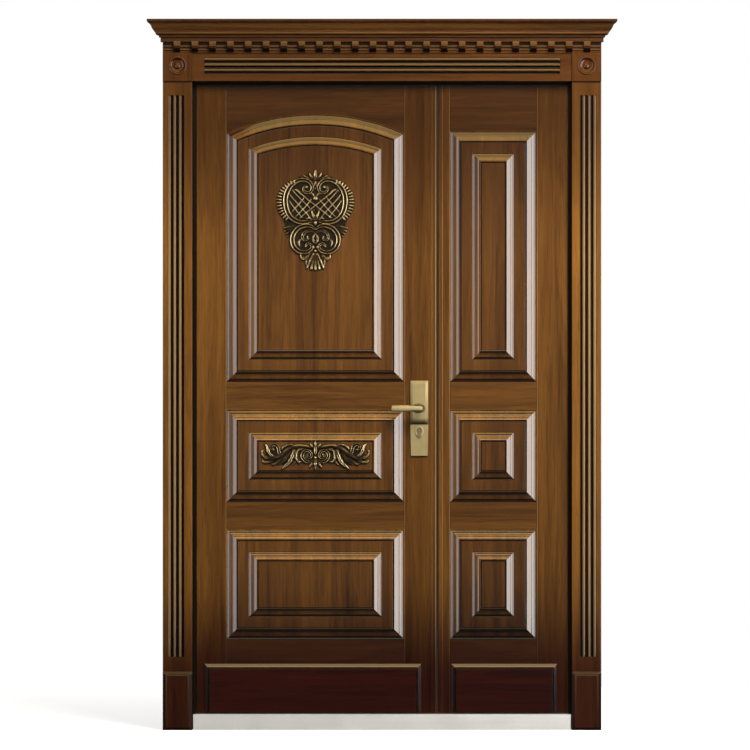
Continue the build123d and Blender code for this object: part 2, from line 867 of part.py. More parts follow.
def lobes(inset, height, run, rise):
    """Two slopes with a narrow step between them and a narrow crest, from a foot at an inset and a height."""
    middle = inset + run
    top = middle + lobe_step + run
    half_way = height + rise
    crest = half_way + rise
    return [(middle, half_way), (middle + lobe_step, half_way), (top, crest), (top + crest_width, crest)]


def panel_steps():
    """The section of a raised panel: rim, quirk, outer ring, flat margin, quirk, inner ring, field."""
    quirk = rim_width + quirk_wall
    steps = [(0, rim_height), (rim_width, rim_height)]
    steps += [(quirk, -quirk_depth), (quirk + quirk_width, -quirk_depth)]
    steps += lobes(*steps[-1], lobe_run, lobe_rise)
    margin = steps[-1][0] + crest_wall
    steps += [(margin, margin_height), (margin + margin_width, margin_height)]
    quirk = margin + margin_width + quirk_wall
    low = margin_height - inner_quirk_depth
    steps += [(quirk, low), (quirk + quirk_width, low)]
    steps += lobes(*steps[-1], inner_lobe_run, inner_lobe_rise)
    return steps + [(steps[-1][0] + crest_wall, field_height)]


def cladding(name, edges, panel_x, upper, kick_x):
    """Stiles, rails, three raised panels and the kick board on the outside of one leaf."""
    left, right = edges
    x0, x1 = panel_x
    outlines = {
        "lower": rectangle(x0, x1, lower_panel_base, lower_panel_top),
        "middle": rectangle(x0, x1, middle_panel_base, middle_panel_top),
        "upper": upper,
    }
    rails = slab(x0, x1, face, core_front, clad_foot, clad_top)
    for part, outline in outlines.items():
        rails -= extrude(front(core_front + cut_over) * outline(0), cladding_thick + 2 * cut_over)
        panel = raised(outline, core_front, face, panel_steps())
        save(f"{name}_{part}_panel", panel)
    save(f"{name}_rails", *rails.solids())

    steps = [(0, kick_edge), (kick_bevel, kick_thick)]
    foot = clad_foot + kick_lift
    kick = raised(rectangle(*kick_x, foot, foot + kick_height), face, face, steps)
    save(f"{name}_kick_board", kick)

    stiles = [slab(left, x0, face, core_front, clad_foot, clad_top)]
    stiles.append(slab(x1, right, face, core_front, clad_foot, clad_top))
    return stiles


def beaded(stile, edge, inwards):
    """A stile with a rounded bead along its meeting edge, set off by a groove."""
    quirk = edge + inwards * meeting_bead
    stile -= slab(quirk, quirk + inwards * bead_groove, face - cut_over, face + bead_groove, 0, frame_top)
    corner = stile.edges().filter_by(Axis.Z).filter_by_position(Axis.X, edge, edge).sort_by(Axis.Y)[0]
    return fillet(corner, bead_round)


def main_leaf():
    """The wide leaf that carries the lock."""
    pan, sheet = steel_core("main", -steel_half, steel_edge, steel_edge, main_rib_shares, lock_zone)
    save("main_outer_skin", through_lock(pan))
    save("main_inner_skin", through_lock(sheet))
    save("main_inner_cladding", through_lock(inner_board(-steel_half, steel_edge)))
    upper = arch_top(*main_panel_x, upper_panel_base, upper_panel_spring, arch_rise)
    kick_x = (main_kick_hinge_inset - clad_half, meeting_edge - main_kick_lock_inset)
    stiles = cladding("main", (-clad_half, meeting_edge), main_panel_x, upper, kick_x)
    save("main_stiles", stiles[0], through_lock(beaded(stiles[1], meeting_edge, -1)))


def side_leaf():
    """The narrow leaf, held by its flush bolts, with the strike plate on its edge."""
    pan, sheet = steel_core("side", side_edge, steel_half, side_edge, side_rib_shares, -lock_zone / 2)
    tab_y = tab_depth / 2 + tab_gap / 2
    slot_ends = []
    for foot, way in ((steel_top - flush_length, 1), (steel_foot + flush_length, -1)):
        near = foot + way * (tab_level - tab_gap)
        far = foot + way * (tab_level + tab_height + tab_travel + tab_gap)
        slot_ends.append((min(near, far), max(near, far)))
    for low, high in slot_ends:
        pan -= slab(side_edge - cut_over, side_edge + 2 * skin, core_mid - tab_y, core_mid + tab_y, low, high)
    save("side_outer_skin", pan)
    save("side_inner_skin", sheet)
    save("side_inner_cladding", inner_board(side_edge, steel_half))
    upper = rectangle(*side_panel_x, upper_panel_base, side_upper_top)
    kick_x = (side_edge + side_kick_meeting_inset, clad_half - side_kick_hinge_inset)
    stiles = cladding("side", (side_edge, clad_half), side_panel_x, upper, kick_x)
    save("side_stiles", beaded(stiles[0], side_edge, 1), stiles[1])

    strike = forend_plate(side_edge, side_edge + forend_thick)
    for z in bolt_levels():
        strike -= bolt(z, side_edge - cut_over, side_edge + cut_over, bolt_radius + keeper_gap)
    save("strike_plate", strike)

    tip_inset = rod_tip_inset + gasket_gap
    for name, end, way in (("top", steel_top, 1), ("bottom", steel_foot, -1)):
        tip = end - way * tip_inset
        root = end - way * flush_length
        bar = rod(flush_x, core_mid, min(root, tip), max(root, tip), rod_radius)
        tab = root + way * tab_level
        bar += slab(side_edge + tab_sink, flush_x, core_mid - tab_depth / 2, core_mid + tab_depth / 2,
                    tab, tab + way * tab_height)
        save(f"{name}_flush_bolt", bar)


def bolt_levels():
    """Heights of the dead bolts, evenly spaced about the middle of the lock case."""
    middle = (case_top + case_foot) / 2
    return [middle + (i - (bolt_count - 1) / 2) * bolt_pitch for i in range(bolt_count)]


def bolt(z, x0, x1, radius):
    """A round bar lying along x from x0 to x1."""
    return Pos((x0 + x1) / 2, core_mid, z) * Rot(0, 90, 0) * Cylinder(radius, x1 - x0)


def lock():
    """Lock case and forend in the leaf's edge, sliding dead bolts, and the rods to the head and the sill."""
    case = slab(case_left, case_right, case_front, case_back, case_foot, case_top)
    case -= slab(case_left + case_wall, case_right - case_wall, case_front + case_wall, case_back - case_wall,
                 case_foot + case_wall, case_top - case_wall)
    case = through_lock(case)
    forend = forend_plate(case_right, steel_edge)
    for z in bolt_levels():
        hole = bolt(z, case_right - 2 * case_wall, steel_edge + cut_over, bolt_radius + bolt_gap)
        case -= hole
        forend -= hole
    for z in (case_foot, case_top):
        case -= rod(rod_x, core_mid, z - 2 * case_wall, z + 2 * case_wall, rod_radius + rod_gap)
    save("lock_case", case)
    save("lock_forend", forend)

    back = case_right - carriage_back
    levels = bolt_levels()
    bolts = slab(back, back + carriage_width, core_mid - carriage_depth / 2, core_mid + carriage_depth / 2,
                 levels[0] - bolt_radius, levels[-1] + bolt_radius)
    for z in levels:
        bolts += bolt(z, back, steel_edge - bolt_tip_inset, bolt_radius)
    save("dead_bolts", bolts)
    save("top_rod", rod(rod_x, core_mid, case_top - rod_entry, steel_top - rod_tip_inset, rod_radius))
    save("bottom_rod", rod(rod_x, core_mid, steel_foot + rod_tip_inset, case_foot + rod_entry, rod_radius))


def lock_plates():
    """Outer plate with raised upper part, scoop, rose and keyhole escutcheon, and the plainer inner plate."""
    half = plate_width / 2
    foot_half = plate_foot_width / 2
    ends = [
        (lock_x - half, plate_top),
        (lock_x - half, plate_step_z),
        (lock_x - foot_half, plate_foot),
        (lock_x + foot_half, plate_foot),
        (lock_x + half, plate_step_z),
        (lock_x + half, plate_top),
    ]
    plate = extrude(front(face) * make_face(Polyline(*ends, close=True)), plate_base)
    level = face - plate_base
    upper = rectangle(lock_x - half, lock_x + half, plate_step_z, plate_top)
    plate += loft([front(level) * upper(0), front(level - plate_raise) * upper(plate_bevel)], ruled=True)
    scoop = Pos(lock_x, level - scoop_radius + scoop_depth, plate_step_z - scoop_radius / 2)
    plate -= scoop * Rot(0, 90, 0) * Cylinder(scoop_radius, plate_width + cut_over)
    rose = Pos(lock_x, lever_z) * Ellipse(rose_width / 2, rose_height / 2)
    plate += extrude(front(level) * rose, plate_raise + rose_thick)
    ring = Pos(lock_x, key_z - plug_inset) * Ellipse(escutcheon_width / 2, escutcheon_height / 2)
    plate += extrude(front(level) * ring, escutcheon_thick)
    save("outer_lock_plate", through_lock(plate))

    outline = rectangle(lock_x - half, lock_x + half, plate_foot, plate_top)
    steps = [(0, 0), (inner_plate_bevel, inner_plate_bevel)]
    inner = raised(outline, inner_plate_thick, inner_plate_bevel, steps)
    inner = Pos(0, inner_face, 0) * mirror(inner, about=Plane.XZ)
    inner = Pos(0, inner_plate_thick, 0) * inner
    save("inner_lock_plate", through_lock(inner))


def lever(way):
    """A lever grip on its neck, drawn from its seat at y zero outwards along way."""
    tip = lever_length / 2 - lever_overhang
    grip = Pos(-tip, 0) * SlotOverall(lever_length, lever_height)
    reach = neck_length + lever_thick
    body = extrude(front(-neck_length) * grip, lever_thick)
    body = fillet(body.edges().filter_by(Plane.XZ), lever_round)
    body += pin(0, 0, 0, -reach + lever_thick / 2, neck_radius)
    body -= slab(-spindle_size / 2 - spindle_gap, spindle_size / 2 + spindle_gap, 0, -neck_length,
                 -spindle_size / 2 - spindle_gap, spindle_size / 2 + spindle_gap)
    return body if way < 0 else mirror(body, about=Plane.XZ)


def handles():
    """Levers on one square spindle, and the key plug and thumbturn in the cylinder."""
    outer_seat = face - plate_base - plate_raise - rose_thick - spindle_gap
    inner_seat = inner_face + inner_plate_thick + spindle_gap
    save("outer_lever", Pos(lock_x, outer_seat, lever_z) * lever(-1))
    save("inner_lever", Pos(lock_x, inner_seat, lever_z) * lever(1))
    half = spindle_size / 2
    spindle = slab(lock_x - half, lock_x + half, outer_seat - neck_length, inner_seat + neck_length,
                   lever_z - half, lever_z + half)
    spindle += pin(lock_x, lever_z, core_mid - hub_thick / 2, core_mid + hub_thick / 2, hub_radius)
    save("lever_spindle", spindle)

    y0 = face - plate_base - escutcheon_thick - cylinder_proud
    y1 = inner_face + inner_plate_thick + cylinder_proud
    cylinder = key_cylinder(y0, y1, 0)
    cylinder -= pin(lock_x, key_z, y0 - cut_over, y1 + cut_over, plug_radius + plug_fit)
    save("lock_cylinder", cylinder)
    plug = pin(lock_x, key_z, y0, core_mid, plug_radius)
    plug -= slab(lock_x - keyway_width / 2, lock_x + keyway_width / 2, y0 - cut_over, y0 + keyway_depth,
                 key_z - keyway_height / 2, key_z + keyway_height / 2)
    save("key_plug", plug)
    turn = pin(lock_x, key_z, core_mid, y1 + spindle_gap, plug_radius)
    turn += pin(lock_x, key_z, y1 + spindle_gap, y1 + turn_thick, turn_radius)
    wing = Pos(lock_x, key_z) * SlotOverall(turn_wing_length, turn_wing_width, rotation=90)
    turn += extrude(front(y1 + turn_thick + turn_wing_thick) * wing, turn_wing_thick)
    save("thumbturn", turn)


def scaled(table, size):
    """Places of a carving's lines in real lengths, from their shares of its half width."""
    return [[tuple(size * share for share in point) for point in line] for line in table]


def smooth(points):
    """A smooth line through the points, as short straight runs that keep the carving light."""
    curve = Spline(*points)
    count = carving_runs * (len(points) - 1)
    return [curve @ (i / count) for i in range(count + 1)]


def band(line):
    """A tapering strap or leaf along a smooth line, as a flat face; each point has its half breadth."""
    left = []
    right = []
    for i, (x, z, breadth) in enumerate(line):
        before = line[max(i - 1, 0)]
        after = line[min(i + 1, len(line) - 1)]
        run = Vector(after[0] - before[0], after[1] - before[1]).normalized()
        left.append((x - run.Y * breadth, z + run.X * breadth))
        right.append((x + run.Y * breadth, z - run.X * breadth))
    return make_face(Polyline(*smooth(left), *reversed(smooth(right)), close=True))


def rays(table):
    """The lines of short ribs set like rays round a centre, still as shares."""
    ribs = []
    for x, z, first, turn, count, inner, outer, breadth in table:
        for i in range(count):
            angle = math.radians(first + i * turn)
            reaches = [(inner + along * (outer - inner), broad * breadth) for along, broad in rib_shares]
            ribs.append([(x + r * math.cos(angle), z + r * math.sin(angle), half) for r, half in reaches])
    return ribs


def both(shapes):
    """Flat shapes and their twins on the other side of the ornament's upright axis, as one outline."""
    total = shapes[0]
    for shape in shapes[1:]:
        total += shape
    return total + mirror(total, about=Plane.YZ)


def carving(x, z, size, grounds, straps, leaves, bosses):
    """A carved piece on the panel's field: low ground, leaves over it, straps and bosses highest."""
    low = [make_face(Polyline(*smooth(line), close=True)) for line in scaled(grounds, size)]
    leaf = [band(line) for line in scaled(leaves, size)]
    strap = [band(line) for line in scaled(straps, size)]
    strap += [Pos(u * size, v * size) * RegularPolygon(r * size, boss_sides) for u, v, r in bosses]
    body = None
    for shapes, height in ((low, carving_base), (leaf, carving_leaf), (strap, carving_strap)):
        tier = extrude(front(field_face) * Pos(x, z) * both(shapes), height)
        body = tier if body is None else body + tier
    return body


def ornaments():
    """The oval cartouche on the upper panel and the long acanthus scroll on the middle panel."""
    leaves = (*medallion_leaf_shares, *rays(medallion_ray_shares))
    cartouche = carving(main_centre, medallion_level, medallion_half_width, medallion_ground_shares,
                        medallion_strap_shares, leaves, medallion_boss_shares)
    save("main_medallion", cartouche)
    acanthus = carving(main_centre, scroll_level, scroll_half_width, scroll_ground_shares,
                       scroll_strap_shares, scroll_leaf_shares, scroll_boss_shares)
    save("main_scroll_ornament", acanthus)


frame_steel()
threshold()
wall_lugs()
pilasters()
entablature()
hinges()
main_leaf()
side_leaf()
lock()
lock_plates()
handles()
ornaments()
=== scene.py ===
import json
import math
import bmesh
import bpy
import mathutils
import numpy as np
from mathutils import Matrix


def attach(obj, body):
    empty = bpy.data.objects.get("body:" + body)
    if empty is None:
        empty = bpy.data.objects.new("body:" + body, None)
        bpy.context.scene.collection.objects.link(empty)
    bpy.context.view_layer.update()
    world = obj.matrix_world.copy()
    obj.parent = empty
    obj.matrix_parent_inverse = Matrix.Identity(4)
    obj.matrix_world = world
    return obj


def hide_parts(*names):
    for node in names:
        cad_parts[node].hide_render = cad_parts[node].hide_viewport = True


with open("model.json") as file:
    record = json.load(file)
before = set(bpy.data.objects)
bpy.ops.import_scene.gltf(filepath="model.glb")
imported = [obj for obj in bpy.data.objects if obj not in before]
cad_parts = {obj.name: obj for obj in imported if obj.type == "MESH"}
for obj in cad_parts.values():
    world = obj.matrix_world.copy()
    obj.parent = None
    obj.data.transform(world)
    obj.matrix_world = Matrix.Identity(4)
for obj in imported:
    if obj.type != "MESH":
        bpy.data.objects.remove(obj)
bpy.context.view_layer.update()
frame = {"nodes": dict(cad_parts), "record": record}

nodes = frame["nodes"]
scene = bpy.context.scene
mm = 0.001
print("frame loaded:", len(nodes), "nodes")


# meshes

# Quads between neighbouring points of a rows x cols grid; a wrapped grid joins its last column to its first.
def gridQuads(rows, cols, wrap=False):
    down, over = np.meshgrid(np.arange(rows - 1), np.arange(cols if wrap else cols - 1), indexing="ij")
    beside = (over + 1) % cols
    corners = [down * cols + over, down * cols + beside, (down + 1) * cols + beside,
               (down + 1) * cols + over]
    return np.stack(corners, -1).reshape(-1, 4)


# A mesh object from points in mm and face lists, normals turned outwards, edges sharper than the angle kept
# crisp.
def makePiece(name, points, faces, crease=24, attributes=None):
    mesh = bpy.data.meshes.new(name)
    mesh.from_pydata((np.asarray(points) * mm).tolist(), [], faces)
    for key, values in (attributes or {}).items():
        mesh.attributes.new(key, "FLOAT", "POINT").data.foreach_set("value", np.asarray(values, np.float32))
    shell = bmesh.new()
    shell.from_mesh(mesh)
    bmesh.ops.recalc_face_normals(shell, faces=shell.faces)
    shell.to_mesh(mesh)
    shell.free()
    mesh.polygons.foreach_set("use_smooth", np.ones(len(mesh.polygons), bool))
    mesh.set_sharp_from_angle(angle=math.radians(crease))
    piece = bpy.data.objects.new(name, mesh)
    scene.collection.objects.link(piece)
    return piece


# The piece takes a material, moves with a body and stands for the given nodes; the record slot is not used.
def settle(piece, body, slotName, material, *standsFor):
    piece.data.materials.clear()
    piece.data.materials.append(material)
    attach(piece, body)
    if standsFor:
        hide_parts(*standsFor)


# Moulding section through (inset, height, bend) steps: a line is straight, an ovolo a quarter ellipse that
# starts steep, a cove one that ends steep, an ogee half a cosine wave, and a bulge a slope that swells by a
# share of its run.
def section(steps, samples=7, swell=0.03):
    insets, heights = [steps[0][0]], [steps[0][1]]
    for (s0, h0, _), (s1, h1, bend) in zip(steps, steps[1:]):
        t = np.linspace(0, 1, 2 if bend == "line" else samples + 1)[1:]
        quarter = t * math.pi / 2
        runs = {"ovolo": 1 - np.cos(quarter), "cove": np.sin(quarter)}
        rises = {"ovolo": np.sin(quarter), "cove": 1 - np.cos(quarter),
                 "ogee": (1 - np.cos(2 * quarter)) / 2}
        swollen = swell * (s1 - s0) * 4 * t * (1 - t) if bend == "bulge" else 0
        insets.extend(s0 + (s1 - s0) * runs.get(bend, t))
        heights.extend(h0 + (h1 - h0) * rises.get(bend, t) + swollen)
    return np.array(insets), np.array(heights)


# Block standing off the wall plane over a grid of x and z lines: surface(x, z) gives how far it reaches out
# and its painted shading: painted shade above zero and a painted highlight below it. Its rim drops straight
# back, and the back is one face. Where a bend is given, the x lines lean as bend(x, z) says.
def reliefBlock(name, xs, zs, surface, crease=24, back=0.0, bend=None):
    gx, gz = np.meshgrid(xs, zs)
    gx = bend(gx, gz) if bend else gx
    height, glaze = surface(gx, gz)
    face = np.stack([gx, -height, gz], -1).reshape(-1, 3)
    rows, cols = gx.shape
    index = np.arange(rows * cols).reshape(rows, cols)
    rim = np.concatenate([index[0, :-1], index[:-1, -1], index[-1, :0:-1], index[:0:-1, 0]])
    behind = face[rim].copy()
    behind[:, 1] = back
    backRim = rows * cols + np.arange(len(rim))
    walls = np.stack([rim, np.roll(rim, -1), np.roll(backRim, -1), backRim], -1)
    faces = gridQuads(rows, cols).tolist() + walls.tolist() + [backRim.tolist()]
    tone = np.concatenate([glaze.ravel(), np.zeros(len(rim))])
    return makePiece(name, np.concatenate([face, behind]), faces, crease, {"glaze": tone})


# Sample lines from low to high that crowd together at the named stops, so that edges there stay crisp.
def crowded(low, high, pitch, stops, reach=1.6):
    near = np.array([0, 0.12, 0.3, 0.55, 0.8, 1]) * reach
    lines = [np.linspace(low, high, max(2, int((high - low) / pitch) + 1))]
    lines += [stop + near for stop in stops] + [stop - near for stop in stops]
    merged = np.unique(np.round(np.concatenate(lines), 3))
    return merged[(merged >= low) & (merged <= high)]


# How far each point of a section lies under the mean of what is round it, from 0 to 1 at the given depth.
def lowness(insets, heights, reach, depth):
    steady = insets + np.arange(len(insets)) * 1e-6
    fine = np.arange(steady[0] - reach, steady[-1] + reach, 0.25)
    level = np.interp(fine, steady, heights)
    window = np.ones(int(8 * reach) + 1)
    mean = np.convolve(level, window / window.sum(), "same")
    mean = np.where((fine < steady[0]) | (fine > steady[-1]), level, mean)
    return np.clip((np.interp(steady, fine, mean) - heights) / depth, 0, 1)


# Height of an edge rounded to radius r, at a distance d inside it: a quarter circle, then flat.
def roundedEdge(d, r):
    short = np.clip(r - d, 0, r)
    return np.sqrt(np.maximum(r * r - short * short, 0)) - r


# shader wrapper

class Wire:
    def __init__(self, tree, socket):
        self.tree = tree
        self.socket = socket

    # Any node: its settings first, then values or wires for its sockets, and the output that is handed on.
    def node(self, kind, settings, sockets, output=0):
        made = self.tree.nodes.new(kind)
        for key, value in settings.items():
            if key == "stops":
                ramp = made.color_ramp
                ramp.elements[0].position, ramp.elements[0].color = value[0]
                ramp.elements[1].position, ramp.elements[1].color = value[-1]
                for position, colour in value[1:-1]:
                    ramp.elements.new(position).color = colour
            else:
                setattr(made, key, value)
        for key, value in sockets.items():
            if isinstance(value, Wire):
                self.tree.links.new(value.socket, made.inputs[key])
            else:
                made.inputs[key].default_value = value
        return Wire(self.tree, made.outputs[output])

    def maths(self, operation, first, second):
        return self.node("ShaderNodeMath", {"operation": operation}, {0: first, 1: second})

    def __add__(self, other):
        return self.maths("ADD", self, other)

    def __radd__(self, other):
        return self.maths("ADD", other, self)

    def __sub__(self, other):
        return self.maths("SUBTRACT", self, other)

    def __rsub__(self, other):
        return self.maths("SUBTRACT", other, self)

    def __mul__(self, other):
        return self.maths("MULTIPLY", self, other)

    def __rmul__(self, other):
        return self.maths("MULTIPLY", other, self)

    def __truediv__(self, other):
        return self.maths("DIVIDE", self, other)

    def __rtruediv__(self, other):
        return self.maths("DIVIDE", other, self)


# A fresh material, its shader and the wire of its Object coordinates.
def freshMaterial(name):
    material = bpy.data.materials.new(name)
    material.use_nodes = True
    tree = material.node_tree
    place = Wire(tree, tree.nodes.new("ShaderNodeTexCoord").outputs["Object"])
    return material, tree.nodes["Principled BSDF"], place


# Wires are linked to the shader's sockets and plain values are set on them.
def feed(shader, place, **sockets):
    for key, value in sockets.items():
        target = shader.inputs[key.replace("_", " ")]
        if isinstance(value, Wire):
            place.tree.links.new(value.socket, target)
        else:
            target.default_value = value


# Noise over coordinates stretched by a scale on each axis and shifted: features are 1/scale metres long.
def streaks(place, scale, shift=(0, 0, 0), detail=2.0, rough=0.5, distort=0.0):
    moved = place.node("ShaderNodeMapping", {}, {"Vector": place, "Scale": scale, "Location": shift})
    noise = {"Vector": moved, "Scale": 1.0, "Detail": detail, "Roughness": rough, "Distortion": distort}
    return place.node("ShaderNodeTexNoise", {}, noise)


# The value of a piece's own attribute, zero where the piece has none.
def ownMark(place, name):
    return place.node("ShaderNodeAttribute", {"attribute_name": name}, {}, 2)


# One of the three coordinates.
def axisOf(place, axis):
    return place.node("ShaderNodeSeparateXYZ", {}, {0: place}, axis)


# Bump from a height, laid over a normal where one is given.
def bumped(place, height, strength, distance, **under):
    sockets = {"Height": height, "Strength": strength, "Distance": distance, **under}
    return place.node("ShaderNodeBump", {}, sockets)


# Smooth 0 to 1 ramp of a value between two marks.
def ease(value, low, high):
    marks = {"Value": value, "From Min": low, "From Max": high, "To Min": 0.0, "To Max": 1.0}
    return value.node("ShaderNodeMapRange", {"interpolation_type": "SMOOTHSTEP"}, marks)


# Two colours mixed, or multiplied, by a factor.
def blendColours(place, factor, first, second, kind="MIX"):
    settings = {"data_type": "RGBA", "blend_type": kind, "clamp_factor": True}
    return place.node("ShaderNodeMix", settings, {0: factor, 6: first, 7: second}, 2)


# materials

woodLook = {
    "dark": (0.024, 0.0086, 0.0022, 1), "light": (0.124, 0.052, 0.0098, 1),
    "pore": (0.012, 0.005, 0.003, 1),
    # painted shade colour for hollows and faces turned down; painted highlight colours for beads and bevel
    # tops, the second near the foot; a light line colour for stile joints and bead edges, a painted
    # highlight
    "glaze": (0.07, 0.05, 0.05, 1), "wearAndHighlight": (0.150, 0.098, 0.038, 1),
    "paintedHighlightFoot": (0.078, 0.052, 0.027, 1), "joint": (0.20, 0.115, 0.040, 1),
    "lit": (1.52, 1.47, 0.95, 1), "foot": (0.215, 0.122, 0.195, 1), "footLow": 0.20, "footHigh": 0.62,
    "head": (0.38, 0.34, 0.33, 1), "headLow": 1.45, "headHigh": 2.02,
    "roughness": 0.36, "coatRoughness": 0.08, "shine": 0.06, "edge": 0.0012,
    "jointRun": (0.0007, 0.0024), "boardEdge": 0.001,
    # across, along, detail, roughness and distortion of each noise
    "figure": (13, 0.9, 4.0, 0.55, 0.5), "bands": (46, 1.5, 3.0, 0.5, 0.3),
    "fibres": (330, 6.0, 2.0, 0.6, 0.0), "pores": (760, 16.0, 1.0, 0.5, 0.0),
}


# Varnished walnut: slow streaks along the grain choose between a dark and a light brown, a warped sine
# draws growth lines, fine fibres and short dark pores lie over them. Painted shade darkens the hollows and a
# painted highlight lightens the beads, and on a moulded piece its own marks paint shade and light on the
# faces and dull the varnish on some. A line is drawn at each joint, on the stiles a light one that is a
# painted highlight; bands between two places on an axis are multiplied by a tone of their own, and the
# colour turns darker and redder towards the foot and darker and browner towards the head.
def varnishedWood(name, along, shift, tint=(1, 1, 1, 1), shade=True, coat=1.0, joints=(), jointTone=None,
                  boards=(), moulded=False):
    look = woodLook
    material, shader, place = freshMaterial(name)

    # noise of the given name, stretched along the grain
    def grained(key):
        across, length, *texture = look[key]
        return streaks(place, tuple(length if axis == along else across for axis in "xyz"), shift, *texture)

    # a colour multiplied by a tint colour, as far as the factor says: tone bands, toning at foot and head,
    # painted shade and painted light
    def tintedBy(factor, colour, tintColour):
        return blendColours(place, factor, colour, blendColours(place, 1.0, colour, tintColour, "MULTIPLY"))

    figure, bands, fibres, pores = (grained(key) for key in ("figure", "bands", "fibres", "pores"))
    lines = place.maths("SINE", figure * 64 + bands * 5, 0)
    mix = figure * 0.95 + bands * 0.75 + lines * 0.07 + fibres * 0.5 - 0.62
    colour = blendColours(place, mix, look["dark"], look["light"])
    poreMask = ease(pores, 0.60, 0.72) * 0.45
    colour = blendColours(place, poreMask, colour, look["pore"])
    if tint != (1, 1, 1, 1):
        colour = blendColours(place, 1.0, colour, tint, "MULTIPLY")
    # painted shade where the mark is above zero, in hollows and quirks
    glaze = ownMark(place, "glaze")
    colour = tintedBy(ease(glaze, 0.0, 1.0), colour, look["glaze"])
    across = axisOf(place, 0)
    # lines at the given places: dark joint lines on the rails; on the stiles a light colour, a painted
    # highlight along joint and bead edges
    for joint in joints:
        near = 1 - ease(place.maths("ABSOLUTE", across - joint, 0), *look["jointRun"])
        colour = blendColours(place, near * 0.8, colour, jointTone)
    for axis, low, high, tintColour in boards:
        spot = axisOf(place, axis)
        within = ease(spot, low, low + look["boardEdge"]) * (1 - ease(spot, high - look["boardEdge"], high))
        colour = tintedBy(within, colour, tintColour)
    if shade:
        height = axisOf(place, 2)
        low = 1 - ease(height + figure * 0.10, look["footLow"], look["footHigh"])
        colour = tintedBy(low, colour, look["foot"])
        wearAndHighlight = blendColours(place, low, look["wearAndHighlight"], look["paintedHighlightFoot"])
    else:
        wearAndHighlight = look["wearAndHighlight"]
    # painted highlight where the mark is below zero, on beads, crests and bevel tops
    colour = blendColours(place, ease(0 - glaze, 0.0, 1.0), colour, wearAndHighlight)
    if shade:
        colour = tintedBy(ease(height, look["headLow"], look["headHigh"]), colour, look["head"])
    if moulded:
        # the moulded piece's own marks: above zero painted shade, below zero painted light, by the side each
        # face lies on
        facing = ownMark(place, "facing")
        colour = tintedBy(facing * 0.9, colour, look["glaze"])
        colour = tintedBy(0 - facing, colour, look["lit"])
        coat = (1 - ownMark(place, "matt")) * coat
    softEdge = place.node("ShaderNodeBevel", {"samples": 4}, {"Radius": look["edge"]})
    grain = bumped(place, fibres * 0.6 - poreMask, 0.10, 0.0006, Normal=softEdge)
    feed(shader, place, Base_Color=colour, Roughness=look["roughness"] + fibres * 0.16 - 0.08, Normal=grain,
         Coat_Weight=coat, Coat_Roughness=look["coatRoughness"], Coat_IOR=1.5,
         Specular_IOR_Level=look["shine"])
    return material


metalLook = {
    "sill": {"colour": (0.90, 0.90, 0.90, 1), "worn": (0.77, 0.77, 0.77, 1), "roughness": 0.34,
             "metal": 0.72, "brush": (3, 900, 900)},
    # the lock's hollow colour is painted shade under the plate's hood
    "lock": {"colour": (0.255, 0.205, 0.098, 1), "worn": (0.205, 0.160, 0.072, 1),
             "hollow": (0.035, 0.028, 0.012, 1), "roughness": 0.50, "metal": 0.70, "brush": (800, 800, 14)},
    "lever": {"colour": (0.34, 0.275, 0.15, 1), "worn": (0.28, 0.22, 0.11, 1), "roughness": 0.46,
              "metal": 0.70, "brush": (20, 800, 800)},
    # dark finish of a rim that stands for the shadow round the lever's rose: painted shadow
    "ring": {"colour": (0.085, 0.062, 0.028, 1), "worn": (0.060, 0.042, 0.018, 1), "roughness": 0.48,
             "metal": 0.6, "brush": (500, 500, 500)},
    "bright": {"colour": (0.33, 0.265, 0.16, 1), "worn": (0.28, 0.22, 0.13, 1), "roughness": 0.42,
               "metal": 0.6, "brush": (500, 500, 500)},
    "bolt": {"colour": (0.60, 0.60, 0.59, 1), "worn": (0.44, 0.43, 0.42, 1), "roughness": 0.28,
             "metal": 1.0, "brush": (500, 500, 30)},
    "hinge": {"colour": (0.50, 0.49, 0.47, 1), "worn": (0.34, 0.32, 0.30, 1), "roughness": 0.36,
              "metal": 1.0, "brush": (420, 420, 24)},
    "plug": {"colour": (0.17, 0.13, 0.07, 1), "worn": (0.12, 0.09, 0.045, 1), "roughness": 0.45,
             "metal": 0.75, "brush": (600, 30, 600)},
}


# Brushed metal: noise drawn out along the brushing shifts colour and roughness, slow blotches dull it in
# patches, and the painted shading attribute paints shade into its hollows.
def brushedMetal(name, look):
    material, shader, place = freshMaterial(name)
    brushed = streaks(place, look["brush"], (0, 0, 0), 2.0, 0.6)
    blotch = streaks(place, (11, 11, 11), (3, 1, 2), 4.0, 0.6)
    dull = ease(blotch * 0.7 + brushed * 0.3, 0.36, 0.68)
    colour = blendColours(place, dull * 0.6, look["colour"], look["worn"])
    glaze = ownMark(place, "glaze")
    colour = blendColours(place, glaze, colour, look.get("hollow", look["worn"]))
    softEdge = place.node("ShaderNodeBevel", {"samples": 4}, {"Radius": 0.0008})
    grain = bumped(place, brushed, 0.10, 0.0003, Normal=softEdge)
    rough = look["roughness"] + brushed * 0.16 + dull * 0.08 - 0.08
    feed(shader, place, Base_Color=colour, Roughness=rough, Normal=grain, Metallic=look["metal"])
    return material


paintLook = {
    # the frame's near-black colour is a dark brown coat made darker as painted shade for the reveals round
    # the leaves
    "frame": {"colour": (0.0035, 0.0022, 0.0016, 1), "second": (0.006, 0.004, 0.003, 1), "roughness": 0.7,
              "coat": 0.0, "shine": 0.03},
    "skin": {"colour": (0.036, 0.022, 0.014, 1), "second": (0.050, 0.032, 0.021, 1), "roughness": 0.48,
             "coat": 0.25, "shine": 0.5},
}


